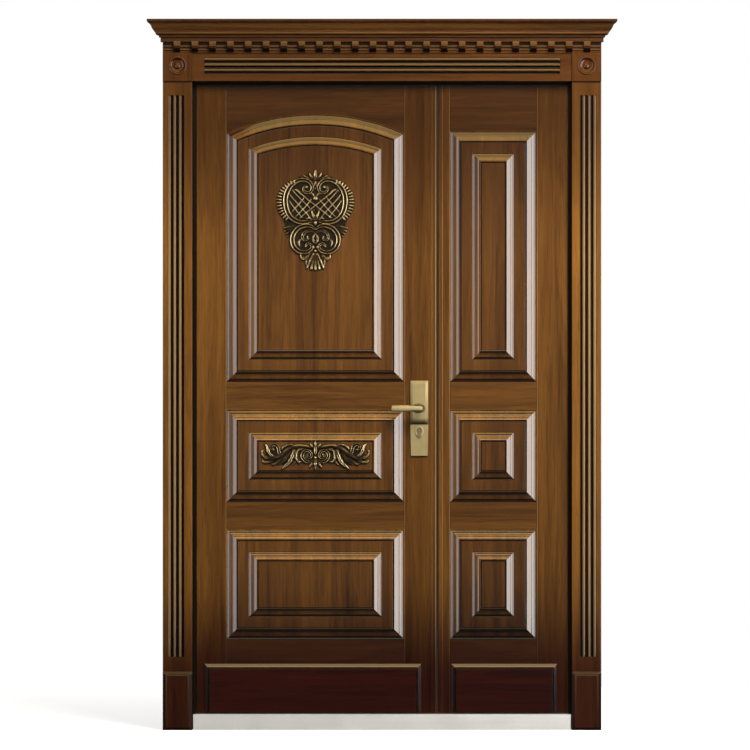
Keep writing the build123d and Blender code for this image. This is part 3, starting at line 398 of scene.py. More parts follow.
# Powder coat: a fine orange peel bump, with a slow drift between two close shades.
def powderCoat(name, look):
    material, shader, place = freshMaterial(name)
    peel = streaks(place, (520, 520, 520), (0, 0, 0), 2.0, 0.5)
    drift = streaks(place, (7, 7, 7), (5, 2, 1), 3.0, 0.6)
    colour = blendColours(place, drift, look["colour"], look["second"])
    bump = bumped(place, peel, 0.16, 0.0004)
    feed(shader, place, Base_Color=colour, Roughness=look["roughness"] + peel * 0.14 - 0.07, Normal=bump,
         Coat_Weight=look["coat"], Coat_Roughness=0.22, Specular_IOR_Level=look["shine"])
    return material


bronzeLook = {
    "recess": (0.006, 0.004, 0.002, 1), "body": (0.044, 0.025, 0.010, 1), "wearAndHighlight": (0.44, 0.335, 0.175, 1),
    "green": (0.018, 0.014, 0.006, 1), "low": 0.30, "high": 1.0,
}


# Antique bronze: the piece's own rise attribute goes from dark recess over brown body to rubbed pale gold
# on the crests, with speckled verdigris left in the hollows.
def antiqueBronze(name, look, attribute=None, spread=1.0):
    material, shader, place = freshMaterial(name)
    speck = streaks(place, (170, 170, 170), (1, 4, 2), 4.0, 0.65)
    blotch = streaks(place, (24, 24, 24), (2, 2, 6), 3.0, 0.6)
    if attribute:
        rise = ownMark(place, attribute)
    else:
        rise = 0.30 + blotch * 0.6
    worn = rise * spread + speck * 0.40 + blotch * 0.24 - 0.34
    stops = [(look["low"], look["recess"]), (0.55, look["body"]), (look["high"], look["wearAndHighlight"])]
    colour = place.node("ShaderNodeValToRGB", {"stops": stops}, {"Fac": worn})
    mossy = ease(blotch, 0.50, 0.72) * (1 - ease(worn, 0.2, 0.6)) * 0.6
    colour = blendColours(place, mossy, colour, look["green"])
    rough = 0.56 - ease(worn, 0.2, 0.8) * 0.26 + speck * 0.10
    bump = bumped(place, speck, 0.18, 0.0005)
    feed(shader, place, Base_Color=colour, Roughness=rough, Metallic=0.35 + ease(worn, 0.15, 0.6) * 0.65,
         Normal=bump,
         Specular_IOR_Level=0.15)
    return material


plainLook = {
    "seal": {"colour": (0.012, 0.012, 0.012, 1), "second": (0.026, 0.025, 0.024, 1), "roughness": 0.72,
             "scale": (300, 300, 300)},
    "pile": {"colour": (0.010, 0.006, 0.004, 1), "second": (0.020, 0.011, 0.006, 1), "roughness": 0.9,
             "scale": (700, 700, 60)},
    "slab": {"colour": (0.42, 0.36, 0.22, 1), "second": (0.56, 0.50, 0.34, 1), "roughness": 0.92,
             "scale": (260, 60, 260)},
}


# Matt filler or rubber: two shades mottled by fine noise that also roughens the surface.
def mottled(name, look):
    material, shader, place = freshMaterial(name)
    fine = streaks(place, look["scale"], (0, 0, 0), 4.0, 0.65)
    bump = bumped(place, fine, 0.3, 0.0006)
    feed(shader, place, Base_Color=blendColours(place, fine, look["colour"], look["second"]),
         Roughness=look["roughness"] + fine * 0.12 - 0.06, Normal=bump)
    return material


# x places of the lines: joints, dark on the rails and painted highlights on the stiles; the bead places are
# painted highlight lines on the stiles
jointPlaces = (-0.505, 0.073, 0.220, 0.503)
beadPlaces = (0.1630, 0.1742, 0.1965)
# bands with a multiplier of their own: on the crown the middle band is painted light that lifts the coves
# out of the crown's shade, between darker bands; the other bands darken the lock stile, the rosette block
# and the rails
toneBands = {
    "stile": ((0, 0.073, 0.1775, (0.80, 0.78, 0.84, 1)),),
    "block": ((2, 2.1012, 2.193, (0.85, 0.76, 0.80, 1)),),
    "crown": ((2, 2.2935, 2.302, (0.55, 0.45, 0.45, 1)), (2, 2.247, 2.266, (1.50, 1.55, 1.70, 1)),
              (2, 2.228, 2.2425, (0.62, 0.56, 0.60, 1))),
    "rail": ((2, 1.93, 2.10, (0.80, 0.78, 0.80, 1)), (2, 0.64, 0.74, (0.84, 0.84, 0.88, 1)),
             (2, 0.20, 0.293, (0.84, 0.74, 0.80, 1))),
}
uprightCasing = varnishedWood("casingUpright", "z", (0.31, 0.0, 0.4), (1.46, 1.47, 1.16, 1), coat=0.3,
                              boards=toneBands["block"])
acrossCasing = varnishedWood("casingAcross", "x", (0.2, 0.7, 0.1), (1.40, 1.30, 1.25, 1), coat=0.3)
# the crown is a brighter copy of the casing wood: painted light on a cornice that stands in its own shade
crownCasingPaintedLight = varnishedWood("casingCrownPaintedLight", "x", (0.2, 0.7, 0.1), (1.80, 1.95, 2.50, 1), coat=0.3,
                            boards=toneBands["crown"])
sidePanels = varnishedWood("panelWalnutSide", "z", (0.47, 0.2, 0.21), (0.78, 0.75, 0.75, 1), moulded=True)
finishes = {
    "casing_wood": uprightCasing,
    "stile_wood": varnishedWood("stileWalnut", "z", (0.0, 0.3, 0.0), (1.05, 1.06, 1.04, 1), coat=0.12,
                                joints=jointPlaces + beadPlaces, jointTone=woodLook["joint"],
                                boards=toneBands["stile"]),
    "rail_wood": varnishedWood("railWalnut", "x", (0.6, 0.1, 0.35), coat=0.6, joints=jointPlaces,
                               jointTone=woodLook["pore"], boards=toneBands["rail"]),
    "panel_wood": varnishedWood("panelWalnut", "z", (0.47, 0.2, 0.21), (0.98, 0.96, 0.94, 1), moulded=True),
    "kick_wood": varnishedWood("kickWalnut", "x", (0.9, 0.4, 0.8), (1.10, 0.58, 0.66, 1), coat=0.5),
    "inner_wood": varnishedWood("innerWalnut", "z", (0.75, 0.9, 0.6), (1.1, 1.1, 1.1, 1), False, coat=0.12),
    "bronze_carving": antiqueBronze("bronzePlain", bronzeLook),
    "frame_steel": powderCoat("frameCoat", paintLook["frame"]),
    "skin_steel": powderCoat("skinCoat", paintLook["skin"]),
    "sill_steel": brushedMetal("sillSteel", metalLook["sill"]),
    "lock_metal": brushedMetal("lockBrass", metalLook["lock"]),
    "plug_metal": brushedMetal("plugMetal", metalLook["plug"]),
    "bolt_steel": brushedMetal("boltSteel", metalLook["bolt"]),
    "hinge_steel": brushedMetal("hingeSteel", metalLook["hinge"]),
    "seal_rubber": mottled("sealRubber", plainLook["seal"]),
    "mineral_slab": mottled("mineralSlab", plainLook["slab"]),
}
print("materials made:", len(finishes))

# every CAD node takes the finish of its record slot; boards that lie across take the grain that runs across
nodeSlots = {entry["node"]: entry["material_slot"] for entry in frame["record"]["subparts"]}
acrossNodes = ("frieze_board", "dentil_band", "crown_cornice")
for nodeName, node in nodes.items():
    node.data.materials.clear()
    node.data.materials.append(acrossCasing if nodeName in acrossNodes else finishes[nodeSlots[nodeName]])
print("nodes dressed")


# raised panels

panelLook = {
    "stileFace": 3.0, "back": 18.0, "arcPoints": 48,
    "steps": [
        (0.0, -15.0, "line"), (0.0, -0.8, "line"), (1.0, 0.3, "ovolo"), (2.0, 0.3, "line"),
        (4.2, -2.0, "ogee"), (5.0, -2.0, "line"),
        (18.0, 2.9, "bulge"), (18.6, 3.0, "line"), (33.0, 8.2, "bulge"), (34.4, 8.1, "ovolo"),
        (36.6, 4.7, "cove"), (38.0, 4.5, "line"),
        (39.5, 5.0, "ovolo"), (72.0, 5.0, "line"), (73.2, 4.6, "cove"), (74.4, 3.6, "line"),
        (75.4, 3.6, "line"), (86.4, 7.6, "bulge"),
        (87.0, 7.7, "line"), (98.6, 11.8, "bulge"), (100.0, 11.7, "ovolo"), (102.0, 7.8, "cove"),
        (103.2, 7.5, "line"), (104.6, 8.0, "ovolo"),
    ],
    "mouldings": ((0.0, 38.0), (72.0, 104.6)),
    # tones over a moulding's width: above zero painted shade, below zero painted light; foot for the bottom
    # side, top for the top and arch, side for the uprights
    "footTone": ([0.0, 0.26, 0.32, 0.62, 0.68, 1.0], [1.0, 1.0, -0.15, -0.15, 1.0, 1.0]),
    "topTone": ([0.0, 0.16, 0.20, 0.36, 0.42, 0.84, 0.90, 1.0],
                [-1.0, -1.0, 0.75, 0.75, -1.0, -1.0, 0.8, 0.8]),
    "sideTone": ([0.0, 0.86, 0.90, 1.0], [0.0, 0.0, 1.0, 1.0]),
    "leftMatt": ([0.0, 0.20, 0.26, 0.54, 0.60, 0.86, 0.92, 1.0],
                 [0.0, 0.0, 0.82, 0.82, 0.0, 0.0, 1.0, 1.0]),
    "rightMatt": ([0.0, 0.22, 0.34, 0.84, 0.90, 1.0], [0.6, 0.5, 0.0, 0.0, 1.0, 1.0]),
    "panels": {
        "main_upper_panel": ("main_leaf", -505, 73, 1127, 1934, 63),
        "main_middle_panel": ("main_leaf", -505, 73, 737, 1038, 0),
        "main_lower_panel": ("main_leaf", -505, 73, 292, 650, 0),
        "side_upper_panel": ("side_leaf", 220, 503, 1127, 1942, 0),
        "side_middle_panel": ("side_leaf", 220, 503, 737, 1038, 0),
        "side_lower_panel": ("side_leaf", 220, 503, 292, 650, 0),
    },
}


# Outline of a panel pulled in by each inset: straight sides with square corners, the top a circle arc with
# the same centre for every inset, or a straight line where the rise is zero. Gives x and z for insets x
# points.
def panelOutline(left, right, bottom, spring, rise, insets, arcPoints):
    middle, half = (left + right) / 2, (right - left) / 2
    inset = insets[:, None]
    if rise:
        radius = (half * half + rise * rise) / (2 * rise)
        centre = spring + rise - radius
        reach = np.arcsin((half - inset) / (radius - inset))
        angle = reach * np.linspace(1, -1, arcPoints)[None, :]
        topX, topZ = middle + (radius - inset) * np.sin(angle), centre + (radius - inset) * np.cos(angle)
    else:
        side = np.array([1.0, -1.0])[None, :]
        topX, topZ = middle + (half - inset) * side, spring - inset + 0 * side
    lowX = middle + (half - inset) * np.array([-1.0, 1.0])[None, :]
    lowZ = bottom + inset + np.zeros((1, 2))
    return np.concatenate([lowX, topX], 1), np.concatenate([lowZ, topZ], 1)


# Raised panel: the moulding section carried round the outline, with a flat field in front and a flat back;
# its quirks hold painted shade. Over the share of a moulding's width, faces are marked with painted shade or
# painted light by the side they lie on, and matt where the varnish of an upright is dulled.
def raisedPanel(name, steps, left, right, bottom, spring, rise):
    insets, heights = section(steps)
    px, pz = panelOutline(left, right, bottom, spring, rise, insets, panelLook["arcPoints"])
    py = np.repeat((panelLook["stileFace"] - heights)[:, None], px.shape[1], 1)
    rows, cols = px.shape
    tone = np.repeat(lowness(insets, heights, 5.0, 3.0)[:, None], cols, 1)
    faces = gridQuads(rows, cols, True).tolist()
    faces += [list(range(cols)), list(range((rows - 1) * cols, rows * cols))]
    piece = makePiece(name, np.stack([px, py, pz], -1).reshape(-1, 3), faces, 14, {"glaze": tone.ravel()})
    between = (insets[1:] + insets[:-1]) / 2
    facing, matt = np.zeros((rows - 1, cols)), np.zeros((rows - 1, cols))
    for start, end in panelLook["mouldings"]:
        part = (between > start) & (between < end)
        share = (between[part] - start) / (end - start)
        facing[part] = np.interp(share, *panelLook["topTone"])[:, None]
        facing[part, 0] = np.interp(share, *panelLook["footTone"])
        facing[part, 1] = facing[part, -1] = np.interp(share, *panelLook["sideTone"])
        matt[part, 1] = np.interp(share, *panelLook["rightMatt"])
        matt[part, -1] = np.interp(share, *panelLook["leftMatt"])
    for key, values in (("facing", facing), ("matt", matt)):
        mark = piece.data.attributes.new(key, "FLOAT", "FACE")
        mark.data.foreach_set("value", np.append(values, [0, 0]).astype(np.float32))
    return piece


for nodeName, (body, left, right, bottom, spring, rise) in panelLook["panels"].items():
    piece = raisedPanel(nodeName + "_moulded", panelLook["steps"], left, right, bottom, spring, rise)
    settle(piece, body, "panel_wood", sidePanels if body == "side_leaf" else finishes["panel_wood"],
           nodeName)
print("panels moulded:", len(panelLook["panels"]))

kickLook = {
    "bottom": 57.0, "top": 214.0, "width": 18.0, "pitch": 40,
    "steps": [(0.0, 1.2, "line"), (0.8, 2.0, "ovolo"), (12.0, 7.0, "bulge"), (13.2, 7.2, "ovolo"),
              (14.0, 5.8, "cove"),
              (15.6, 5.6, "line"), (17.0, 7.8, "ovolo"), (18.0, 8.0, "line")],
    # tones from the edge in: below zero a painted highlight, above zero painted shade
    "topTone": ([0.8, 2.0, 11.0, 12.6, 13.6, 16.0, 17.5], [0.0, -0.7, -1.0, 0.0, 1.0, 1.0, 0.0]),
    "sideTone": ([0.8, 2.0, 6.0, 8.0, 16.0, 17.5], [0.0, -0.15, 0.0, 1.0, 1.0, 0.0]),
    "boards": {"main_kick_board": ("main_leaf", -577.0, 127.97),
               "side_kick_board": ("side_leaf", 223.47, 570.0)},
}


# Kick board: over the distance from its top or side edge, whichever is nearer, the height follows the
# moulding section. A painted highlight runs along the top bevel and painted shade lies in the quirk inside
# it.
def kickBoard(x, z, low, high):
    side, top = np.minimum(x - low, high - x), kickLook["top"] - z
    near = np.minimum(side, top)
    tone = np.where(top <= side, np.interp(near, *kickLook["topTone"]),
                    np.interp(near, *kickLook["sideTone"]))
    return np.interp(near, *section(kickLook["steps"])) - panelLook["stileFace"], tone


for nodeName, (body, low, high) in kickLook["boards"].items():
    bevel = np.arange(4) * kickLook["width"] / 3
    xs = crowded(low, high, kickLook["pitch"], [*(low + bevel), *(high - bevel)], 6)
    zs = crowded(kickLook["bottom"], kickLook["top"], kickLook["pitch"], kickLook["top"] - bevel, 6)
    board = lambda x, z: kickBoard(x, z, low, high)
    piece = reliefBlock(nodeName + "_moulded", xs, zs, board, 14, panelLook["stileFace"])
    settle(piece, body, "kick_wood", finishes["kick_wood"], nodeName)
print("kick boards moulded")


# casing

fluteLook = {"count": 3, "pitch": 17.6, "width": 8.5, "depth": 8.0, "edge": 2.0, "drop": 2.6}
casingLook = {"inner": 615.0, "outer": 710.0, "foot": 190.0, "top": 2101.0, "thick": 30.0, "fluteEnd": 45.0,
              "friezeTop": 2192.0, "friezeEnd": 38.0, "blockFace": 36.0, "dish": 24.0, "dishDepth": 6.0,
              "dome": 11.0, "domeRise": 6.0, "rim": 3.0, "rimRise": 2.2, "blockEdge": 0.9,
              "rosetteMiddle": 2151.5,
              "darkDepth": 44.0, "darkEdge": 2.5}
# name, side and x range of each post
posts = (("left", -1, -casingLook["outer"], -casingLook["inner"]),
         ("right", 1, casingLook["inner"], casingLook["outer"]))


# Fluted board: a flat face with rounded arrises, cut by round-ended flutes, with a rounded bead on the
# outer side of each. Over the distances along and across the board, q is the distance from a flute's middle
# line and b that from a bead's, both 1 at the edge; a flute is a flattened half circle deep, a bead falls
# off like a circle. Gives the height, painted shade in the flutes and a painted highlight on the beads.
def flutedBoard(along, across, low, high, foot, head, outward):
    look = fluteLook
    u = (across - (low + high) / 2) * outward
    side = look["count"] // 2
    lane = np.clip(np.round(u / look["pitch"]), -side, side) * look["pitch"]
    bead = np.clip(np.round(u / look["pitch"] - 0.5), -side, side) * look["pitch"] + look["pitch"] / 2
    beyond = np.maximum(np.abs(along - (foot + head) / 2) - (head - foot - look["width"]) / 2, 0)
    q = np.clip(np.hypot(u - lane, beyond) / (look["width"] / 2), 0, 1)
    b = np.clip(np.hypot(u - bead, beyond) / ((look["pitch"] - look["width"]) / 2), 0, 1)
    beaded = (b < 1) & (q >= 1)
    height = casingLook["thick"] + roundedEdge(np.minimum(across - low, high - across), look["edge"])
    height = height - look["depth"] * (1 - q ** 5) ** 0.5
    height = height - np.where(beaded, look["drop"] * (1 - np.sqrt(1 - b * b)), 0)
    wearAndHighlight = np.where(beaded, -np.clip(1.4 * (1 - b), 0, 1), 0)
    return height, np.where(q < 1, np.clip((1 - q) * 4, 0, 1), wearAndHighlight)


# Lines across a fluted board, crowded at its arrises and at the lips of its flutes and beads.
def fluteLines(low, high, outward):
    middle = (low + high) / 2
    pitch, half = fluteLook["pitch"], fluteLook["width"] / 2
    lips = [middle + lane * pitch + side * half for lane in (-1, 0, 1) for side in (-1, 1)]
    lips.append(middle + outward * (2 * pitch - half))
    return crowded(low, high, 1.1, [low, high] + lips, 1.2)


for sideName, sign, low, high in posts:
    foot, head = casingLook["foot"] + casingLook["fluteEnd"], casingLook["top"] - casingLook["fluteEnd"]
    board = lambda x, z: flutedBoard(z, x, low, high, foot, head, sign)
    zs = crowded(casingLook["foot"], casingLook["top"], 120, [foot, head], 5)
    piece = reliefBlock(sideName + "_pilaster_fluted", fluteLines(low, high, sign), zs, board)
    settle(piece, "frame", "casing_wood", uprightCasing, sideName + "_pilaster")

reach = casingLook["inner"] - casingLook["friezeEnd"]
low, high = casingLook["top"], casingLook["friezeTop"]
board = lambda x, z: flutedBoard(x, z, low, high, -reach, reach, 1)
xs = crowded(-casingLook["inner"], casingLook["inner"], 120, [-reach, reach], 5)
piece = reliefBlock("frieze_board_fluted", xs, fluteLines(low, high, 1), board)
settle(piece, "frame", "casing_wood", acrossCasing, "frieze_board")
print("fluted boards made")

plinthLook = {"bevel": 9.0, "bevelDepth": 5.0, "thick": 38.0, "line": 3.0}


# Plinth block: a flat field inside a sloping bevel; the bevel takes painted shade and a painted highlight
# runs along the arris between the two. Over the distance from the nearest edge the height climbs evenly to
# the field; the foot has no bevel line.
def plinthBlock(x, z, low, high):
    look = plinthLook
    edge = np.minimum(np.minimum(x - low, high - x), casingLook["foot"] - z)
    height = look["thick"] - look["bevelDepth"] * (1 - np.clip(np.minimum(edge, z) / look["bevel"], 0, 1))
    arrisHighlight = np.clip(1 - np.abs(edge - look["bevel"] - look["line"]) / look["line"], 0, 1)
    return height, np.where(edge < look["bevel"], 0.5, 0) - 0.75 * arrisHighlight * np.clip(z / casingLook["foot"],
                                                                                 0, 1)


for sideName, sign, low, high in posts:
    bevel, foot = plinthLook["bevel"], casingLook["foot"]
    xs = crowded(low, high, 8, [low + bevel, high - bevel], 6)
    zs = crowded(0, foot, 8, [bevel, foot - bevel], 6)
    block = lambda x, z: plinthBlock(x, z, low, high)
    piece = reliefBlock(sideName + "_plinth_bevelled", xs, zs, block)
    settle(piece, "frame", "casing_wood", uprightCasing, sideName + "_plinth_block")
print("plinths made")

# tones of band and dentils: above zero painted shade behind and under the dentils, below zero a painted
# highlight on the fillets and dentil tops
dentilLook = {
    "half": 710.0, "inset": 46.5, "count": 24, "width": 21.0, "foot": 2192.0, "top": 2229.0, "band": 33.0,
    "fillet": 3.0, "fillets": (2202.0, 2212.7), "filletHeight": 4.0, "inside": 20.0,
    "filletTone": -0.55, "bandTone": ([2200.0, 2206.0, 2216.0, 2218.0], [0.1, 0.5, 0.6, 0.95]),
    "dentilTone": ([2201.0, 2208.0, 2215.0, 2227.0], [1.0, 0.75, -0.50, -0.62]),
    "steps": [(48.0, 2228.9, "line"), (49.0, 2226.0, "ovolo"), (49.0, 2214.0, "line"),
              (45.5, 2206.0, "cove"), (37.5, 2197.0, "ogee"), (36.5, 2196.2, "line")],
}


# Dentil band: a flat board with two fillets, and on it a row of dentils, each a bracket section (reach out
# over height) drawn across the dentil's width. Sections are closed against the wall plane.
def dentilBand(name):
    look = dentilLook
    out, up = [0, look["band"]], [look["foot"], look["foot"]]
    for level in look["fillets"]:
        out += [look["band"], look["band"] + look["fillet"], look["band"] + look["fillet"], look["band"]]
        up += [level, level, level + look["filletHeight"], level + look["filletHeight"]]
    out, up = np.array(out + [look["band"], 0.0]), np.array(up + [look["top"], look["top"]])
    reach, level = section(look["steps"], 6)
    reach, level = np.append(reach, [look["inside"]] * 2), np.append(level, [level[-1], level[0]])
    middles = np.linspace(-1, 1, look["count"]) * (look["half"] - look["inset"])
    points, faces, tones = [], [], []

    # one bar between two x values, with its section as both ends
    def bar(x0, x1, outwards, upwards, tone):
        first, count = sum(len(part) for part in points), len(outwards)
        for x in (x0, x1):
            points.append(np.stack([np.full(count, x), -outwards, upwards], -1))
            tones.append(tone)
        ring = np.arange(count)
        beside = np.roll(ring, -1)
        faces.extend((first + np.stack([ring, beside, beside + count, ring + count], -1)).tolist())
        faces.extend([(first + ring).tolist(), (first + count + ring).tolist()])

    bandTone = np.where(out > look["band"], look["filletTone"], np.interp(up, *look["bandTone"]))
    bar(-look["half"], look["half"], out, up, bandTone)
    for middle in middles:
        side = look["width"] / 2
        bar(middle - side, middle + side, reach, level, np.interp(level, *look["dentilTone"]))
    return makePiece(name, np.concatenate(points), faces, 30, {"glaze": np.concatenate(tones)})


settle(dentilBand("dentil_band_bracketed"), "frame", "casing_wood", acrossCasing, "dentil_band")
print("dentils made:", dentilLook["count"])

corniceLook = {
    "half": 710.0, "depth": 30.0, "foot": 2229.0,
    "steps": [
        (7.0, 0.0, "line"), (7.0, 13.0, "line"), (8.5, 14.5, "ovolo"), (12.0, 15.0, "line"),
        (12.6, 20.5, "line"),
        (14.0, 22.0, "ovolo"), (17.5, 22.5, "line"), (24.5, 31.5, "cove"), (25.0, 34.0, "line"),
        (28.5, 34.5, "line"),
        (29.0, 37.5, "line"), (45.0, 60.5, "ogee"), (46.5, 61.5, "line"), (46.5, 63.0, "line"),
        (49.0, 63.4, "line"),
        (50.0, 64.6, "ovolo"), (50.0, 70.2, "line"), (49.2, 71.0, "cove"),
    ],
}


# Crown cornice: its section, reach out over height, carried round the front and two returned ends with
# mitred corners; top, bottom and back are flat.
def crownCornice(name):
    look = corniceLook
    reach, rise = section(look["steps"], 9)
    side, out = look["half"] + reach, -look["depth"] - reach
    px = np.stack([-side, -side, side, side], 1)
    py = np.stack([0 * out, out, out, 0 * out], 1)
    pz = np.repeat((look["foot"] + rise)[:, None], 4, 1)
    # painted shade in the section's recesses
    tone = np.repeat(lowness(rise, reach, 4.0, 18.0)[:, None], 4, 1)
    rows = len(reach)
    starts = np.arange(rows) * 4
    faces = gridQuads(rows, 4).tolist()
    faces += [[0, 1, 2, 3], (starts[-1] + np.arange(4)).tolist(),
              np.concatenate([starts, starts[::-1] + 3]).tolist()]
    return makePiece(name, np.stack([px, py, pz], -1).reshape(-1, 3), faces, 20, {"glaze": tone.ravel()})


settle(crownCornice("crown_cornice_moulded"), "frame", "casing_wood", crownCasingPaintedLight, "crown_cornice")


# Turned rosette in a block: rings round one centre. A bead runs round the rim of a hollow dish, and a dome
# stands in it; each is a half circle of its own width. Painted shade grows with depth and lies along the
# block's sides.
def rosetteBlock(x, z, low, high, bottom, top):
    look = casingLook
    r = np.hypot(x - (low + high) / 2, z - look["rosetteMiddle"])
    side = np.minimum(x - low, high - x)
    flat = look["blockFace"] + roundedEdge(np.minimum(side, np.minimum(z - bottom, top - z)),
                                           look["blockEdge"])
    offRim = (r - look["dish"] - look["rim"]) / look["rim"]
    bead = look["rimRise"] * np.sqrt(np.clip(1 - offRim ** 2, 0, 1))
    slope = np.clip((r - look["dome"]) / (look["dish"] - look["dome"]), 0, 1)
    dish = -look["dishDepth"] * np.sqrt(np.clip(1 - slope ** 2, 0, 1))
    dome = -look["dishDepth"] + look["domeRise"] * np.sqrt(np.clip(1 - (r / look["dome"]) ** 2, 0, 1))
    height = flat + np.where(r < look["dome"], dome, np.where(r < look["dish"], dish, bead))
    dark = np.maximum((look["blockFace"] - height) / look["darkDepth"], 1 - side / look["darkEdge"])
    return height, np.clip(dark, 0, 1)


for sideName, sign, low, high in posts:
    bottom, top = casingLook["top"], casingLook["friezeTop"]
    xs, zs = crowded(low, high, 0.8, [low, high]), crowded(bottom, top, 0.8, [bottom, top])
    turned = lambda x, z: rosetteBlock(x, z, low, high, bottom, top)
    piece = reliefBlock(sideName + "_rosette_turned", xs, zs, turned, 35)
    settle(piece, "frame", "casing_wood", uprightCasing, sideName + "_rosette_block")
print("cornice and rosettes made")


# carvings

# wall: height and run of a stroke's edge; the edge falls under the face, and the back lies behind it
carveLook = {"wall": 1.2, "wallRun": 0.8, "edgeFall": 2.5, "edgeDepth": 1.6, "margin": 1.2, "back": 2.0,
             "level": 0.42, "window": 5, "deep": (2.5, 8.5), "scallop": 0.26, "groundReach": 1.0}


# Smooth line through control points: each stretch is the cubic whose end slopes run from neighbour to
# neighbour.
def smoothLine(points, count):
    knots = np.array(points, float)
    padded = np.concatenate([2 * knots[:1] - knots[1:2], knots, 2 * knots[-1:] - knots[-2:-1]])
    where = np.linspace(0, len(knots) - 1 - 1e-9, count)
    k = where.astype(int)
    t = (where - k)[:, None]
    p0, p1, p2, p3 = padded[k], padded[k + 1], padded[k + 2], padded[k + 3]
    square, cube = 2 * p0 - 5 * p1 + 4 * p2 - p3, 3 * p1 - p0 - 3 * p2 + p3
    return 0.5 * (2 * p1 + (p2 - p0) * t + square * t ** 2 + cube * t ** 3)


# Cross sections of a carved stroke over q, 0 at its middle and 1 at its edge: a half-round, a strap with
# two rims and a hollow between them, or a leaf with a vein cut down its middle.
crossSections = {
    "round": lambda q: np.sqrt(1 - q ** 2),
    "strap": lambda q: np.sqrt(1 - q ** 4) * (1 - 0.62 * np.exp(-(q / 0.46) ** 4)),
    "leaf": lambda q: (1 - q ** 2) ** 0.7 * (1 - 0.45 * np.exp(-(q / 0.16) ** 2)),
}


# Lays one stroke into the height and reach fields: height is a low wall plus the cross section, both
# growing from the edge, and reach is how far a point lies inside the edge. Scalloped strokes swell and
# narrow along their length.
def layStroke(fields, gu, gv, kind, points, radii, height, scallops=0):
    line = smoothLine(points, 14 * len(points))
    along = np.linspace(0, 1, len(line))
    radius = np.interp(along, np.linspace(0, 1, len(radii)), radii)
    if scallops:
        radius = radius * (1 - carveLook["scallop"] * np.abs(np.cos(along * math.pi * scallops)))
    widest = radius.max() + 2
    (lowU, lowV), (highU, highV) = line.min(0) - widest, line.max(0) + widest
    rowsIn = np.flatnonzero((gv[:, 0] > lowV) & (gv[:, 0] < highV))
    colsIn = np.flatnonzero((gu[0] > lowU) & (gu[0] < highU))
    if len(rowsIn) == 0 or len(colsIn) == 0:
        return
    window = np.ix_(rowsIn, colsIn)
    offU, offV = gu[window][..., None] - line[:, 0], gv[window][..., None] - line[:, 1]
    far = np.sqrt(offU ** 2 + offV ** 2) - radius
    nearest = far.argmin(-1)
    reach = -np.take_along_axis(far, nearest[..., None], -1)[..., 0]
    here = radius[nearest]
    q = np.clip((here - reach) / here, 0, 1)
    tall = np.interp(along[nearest], np.linspace(0, 1, len(height)), height)
    wall = carveLook["wall"] * np.clip(reach / carveLook["wallRun"], 0, 1)
    body = np.where(reach > 0, wall + (tall - carveLook["wall"]) * crossSections[kind](q), 0)
    fields["height"][window] = np.maximum(fields["height"][window], body)
    fields["reach"][window] = np.maximum(fields["reach"][window], reach)


# Flat ground inside a closed outline, by the crossing rule, at a low height.
def layGround(fields, gu, gv, points, height):
    loop = smoothLine(points + points[:1], 160)
    x0, y0 = loop[:-1].T
    x1, y1 = loop[1:].T
    spans = (y0 > gv[..., None]) != (y1 > gv[..., None])
    cut = x0 + (gv[..., None] - y0) * (x1 - x0) / np.where(y1 == y0, 1e-9, y1 - y0)
    inside = (spans & (gu[..., None] < cut)).sum(-1) % 2 == 1
    fields["height"] = np.where(inside, np.maximum(fields["height"], height), fields["height"])
    fields["reach"] = np.where(inside, np.maximum(fields["reach"], carveLook["groundReach"]),
                               fields["reach"])


# Mean over a square window, by differences of running sums.
def softened(field, half):
    wide = np.pad(field, half + 1, mode="edge")
    sums = wide.cumsum(0).cumsum(1)
    size = 2 * half + 1
    inner, outer = slice(size, -1), slice(None, -size - 1)
    corners = sums[inner, inner] - sums[outer, inner] - sums[inner, outer] + sums[outer, outer]
    return corners / size ** 2


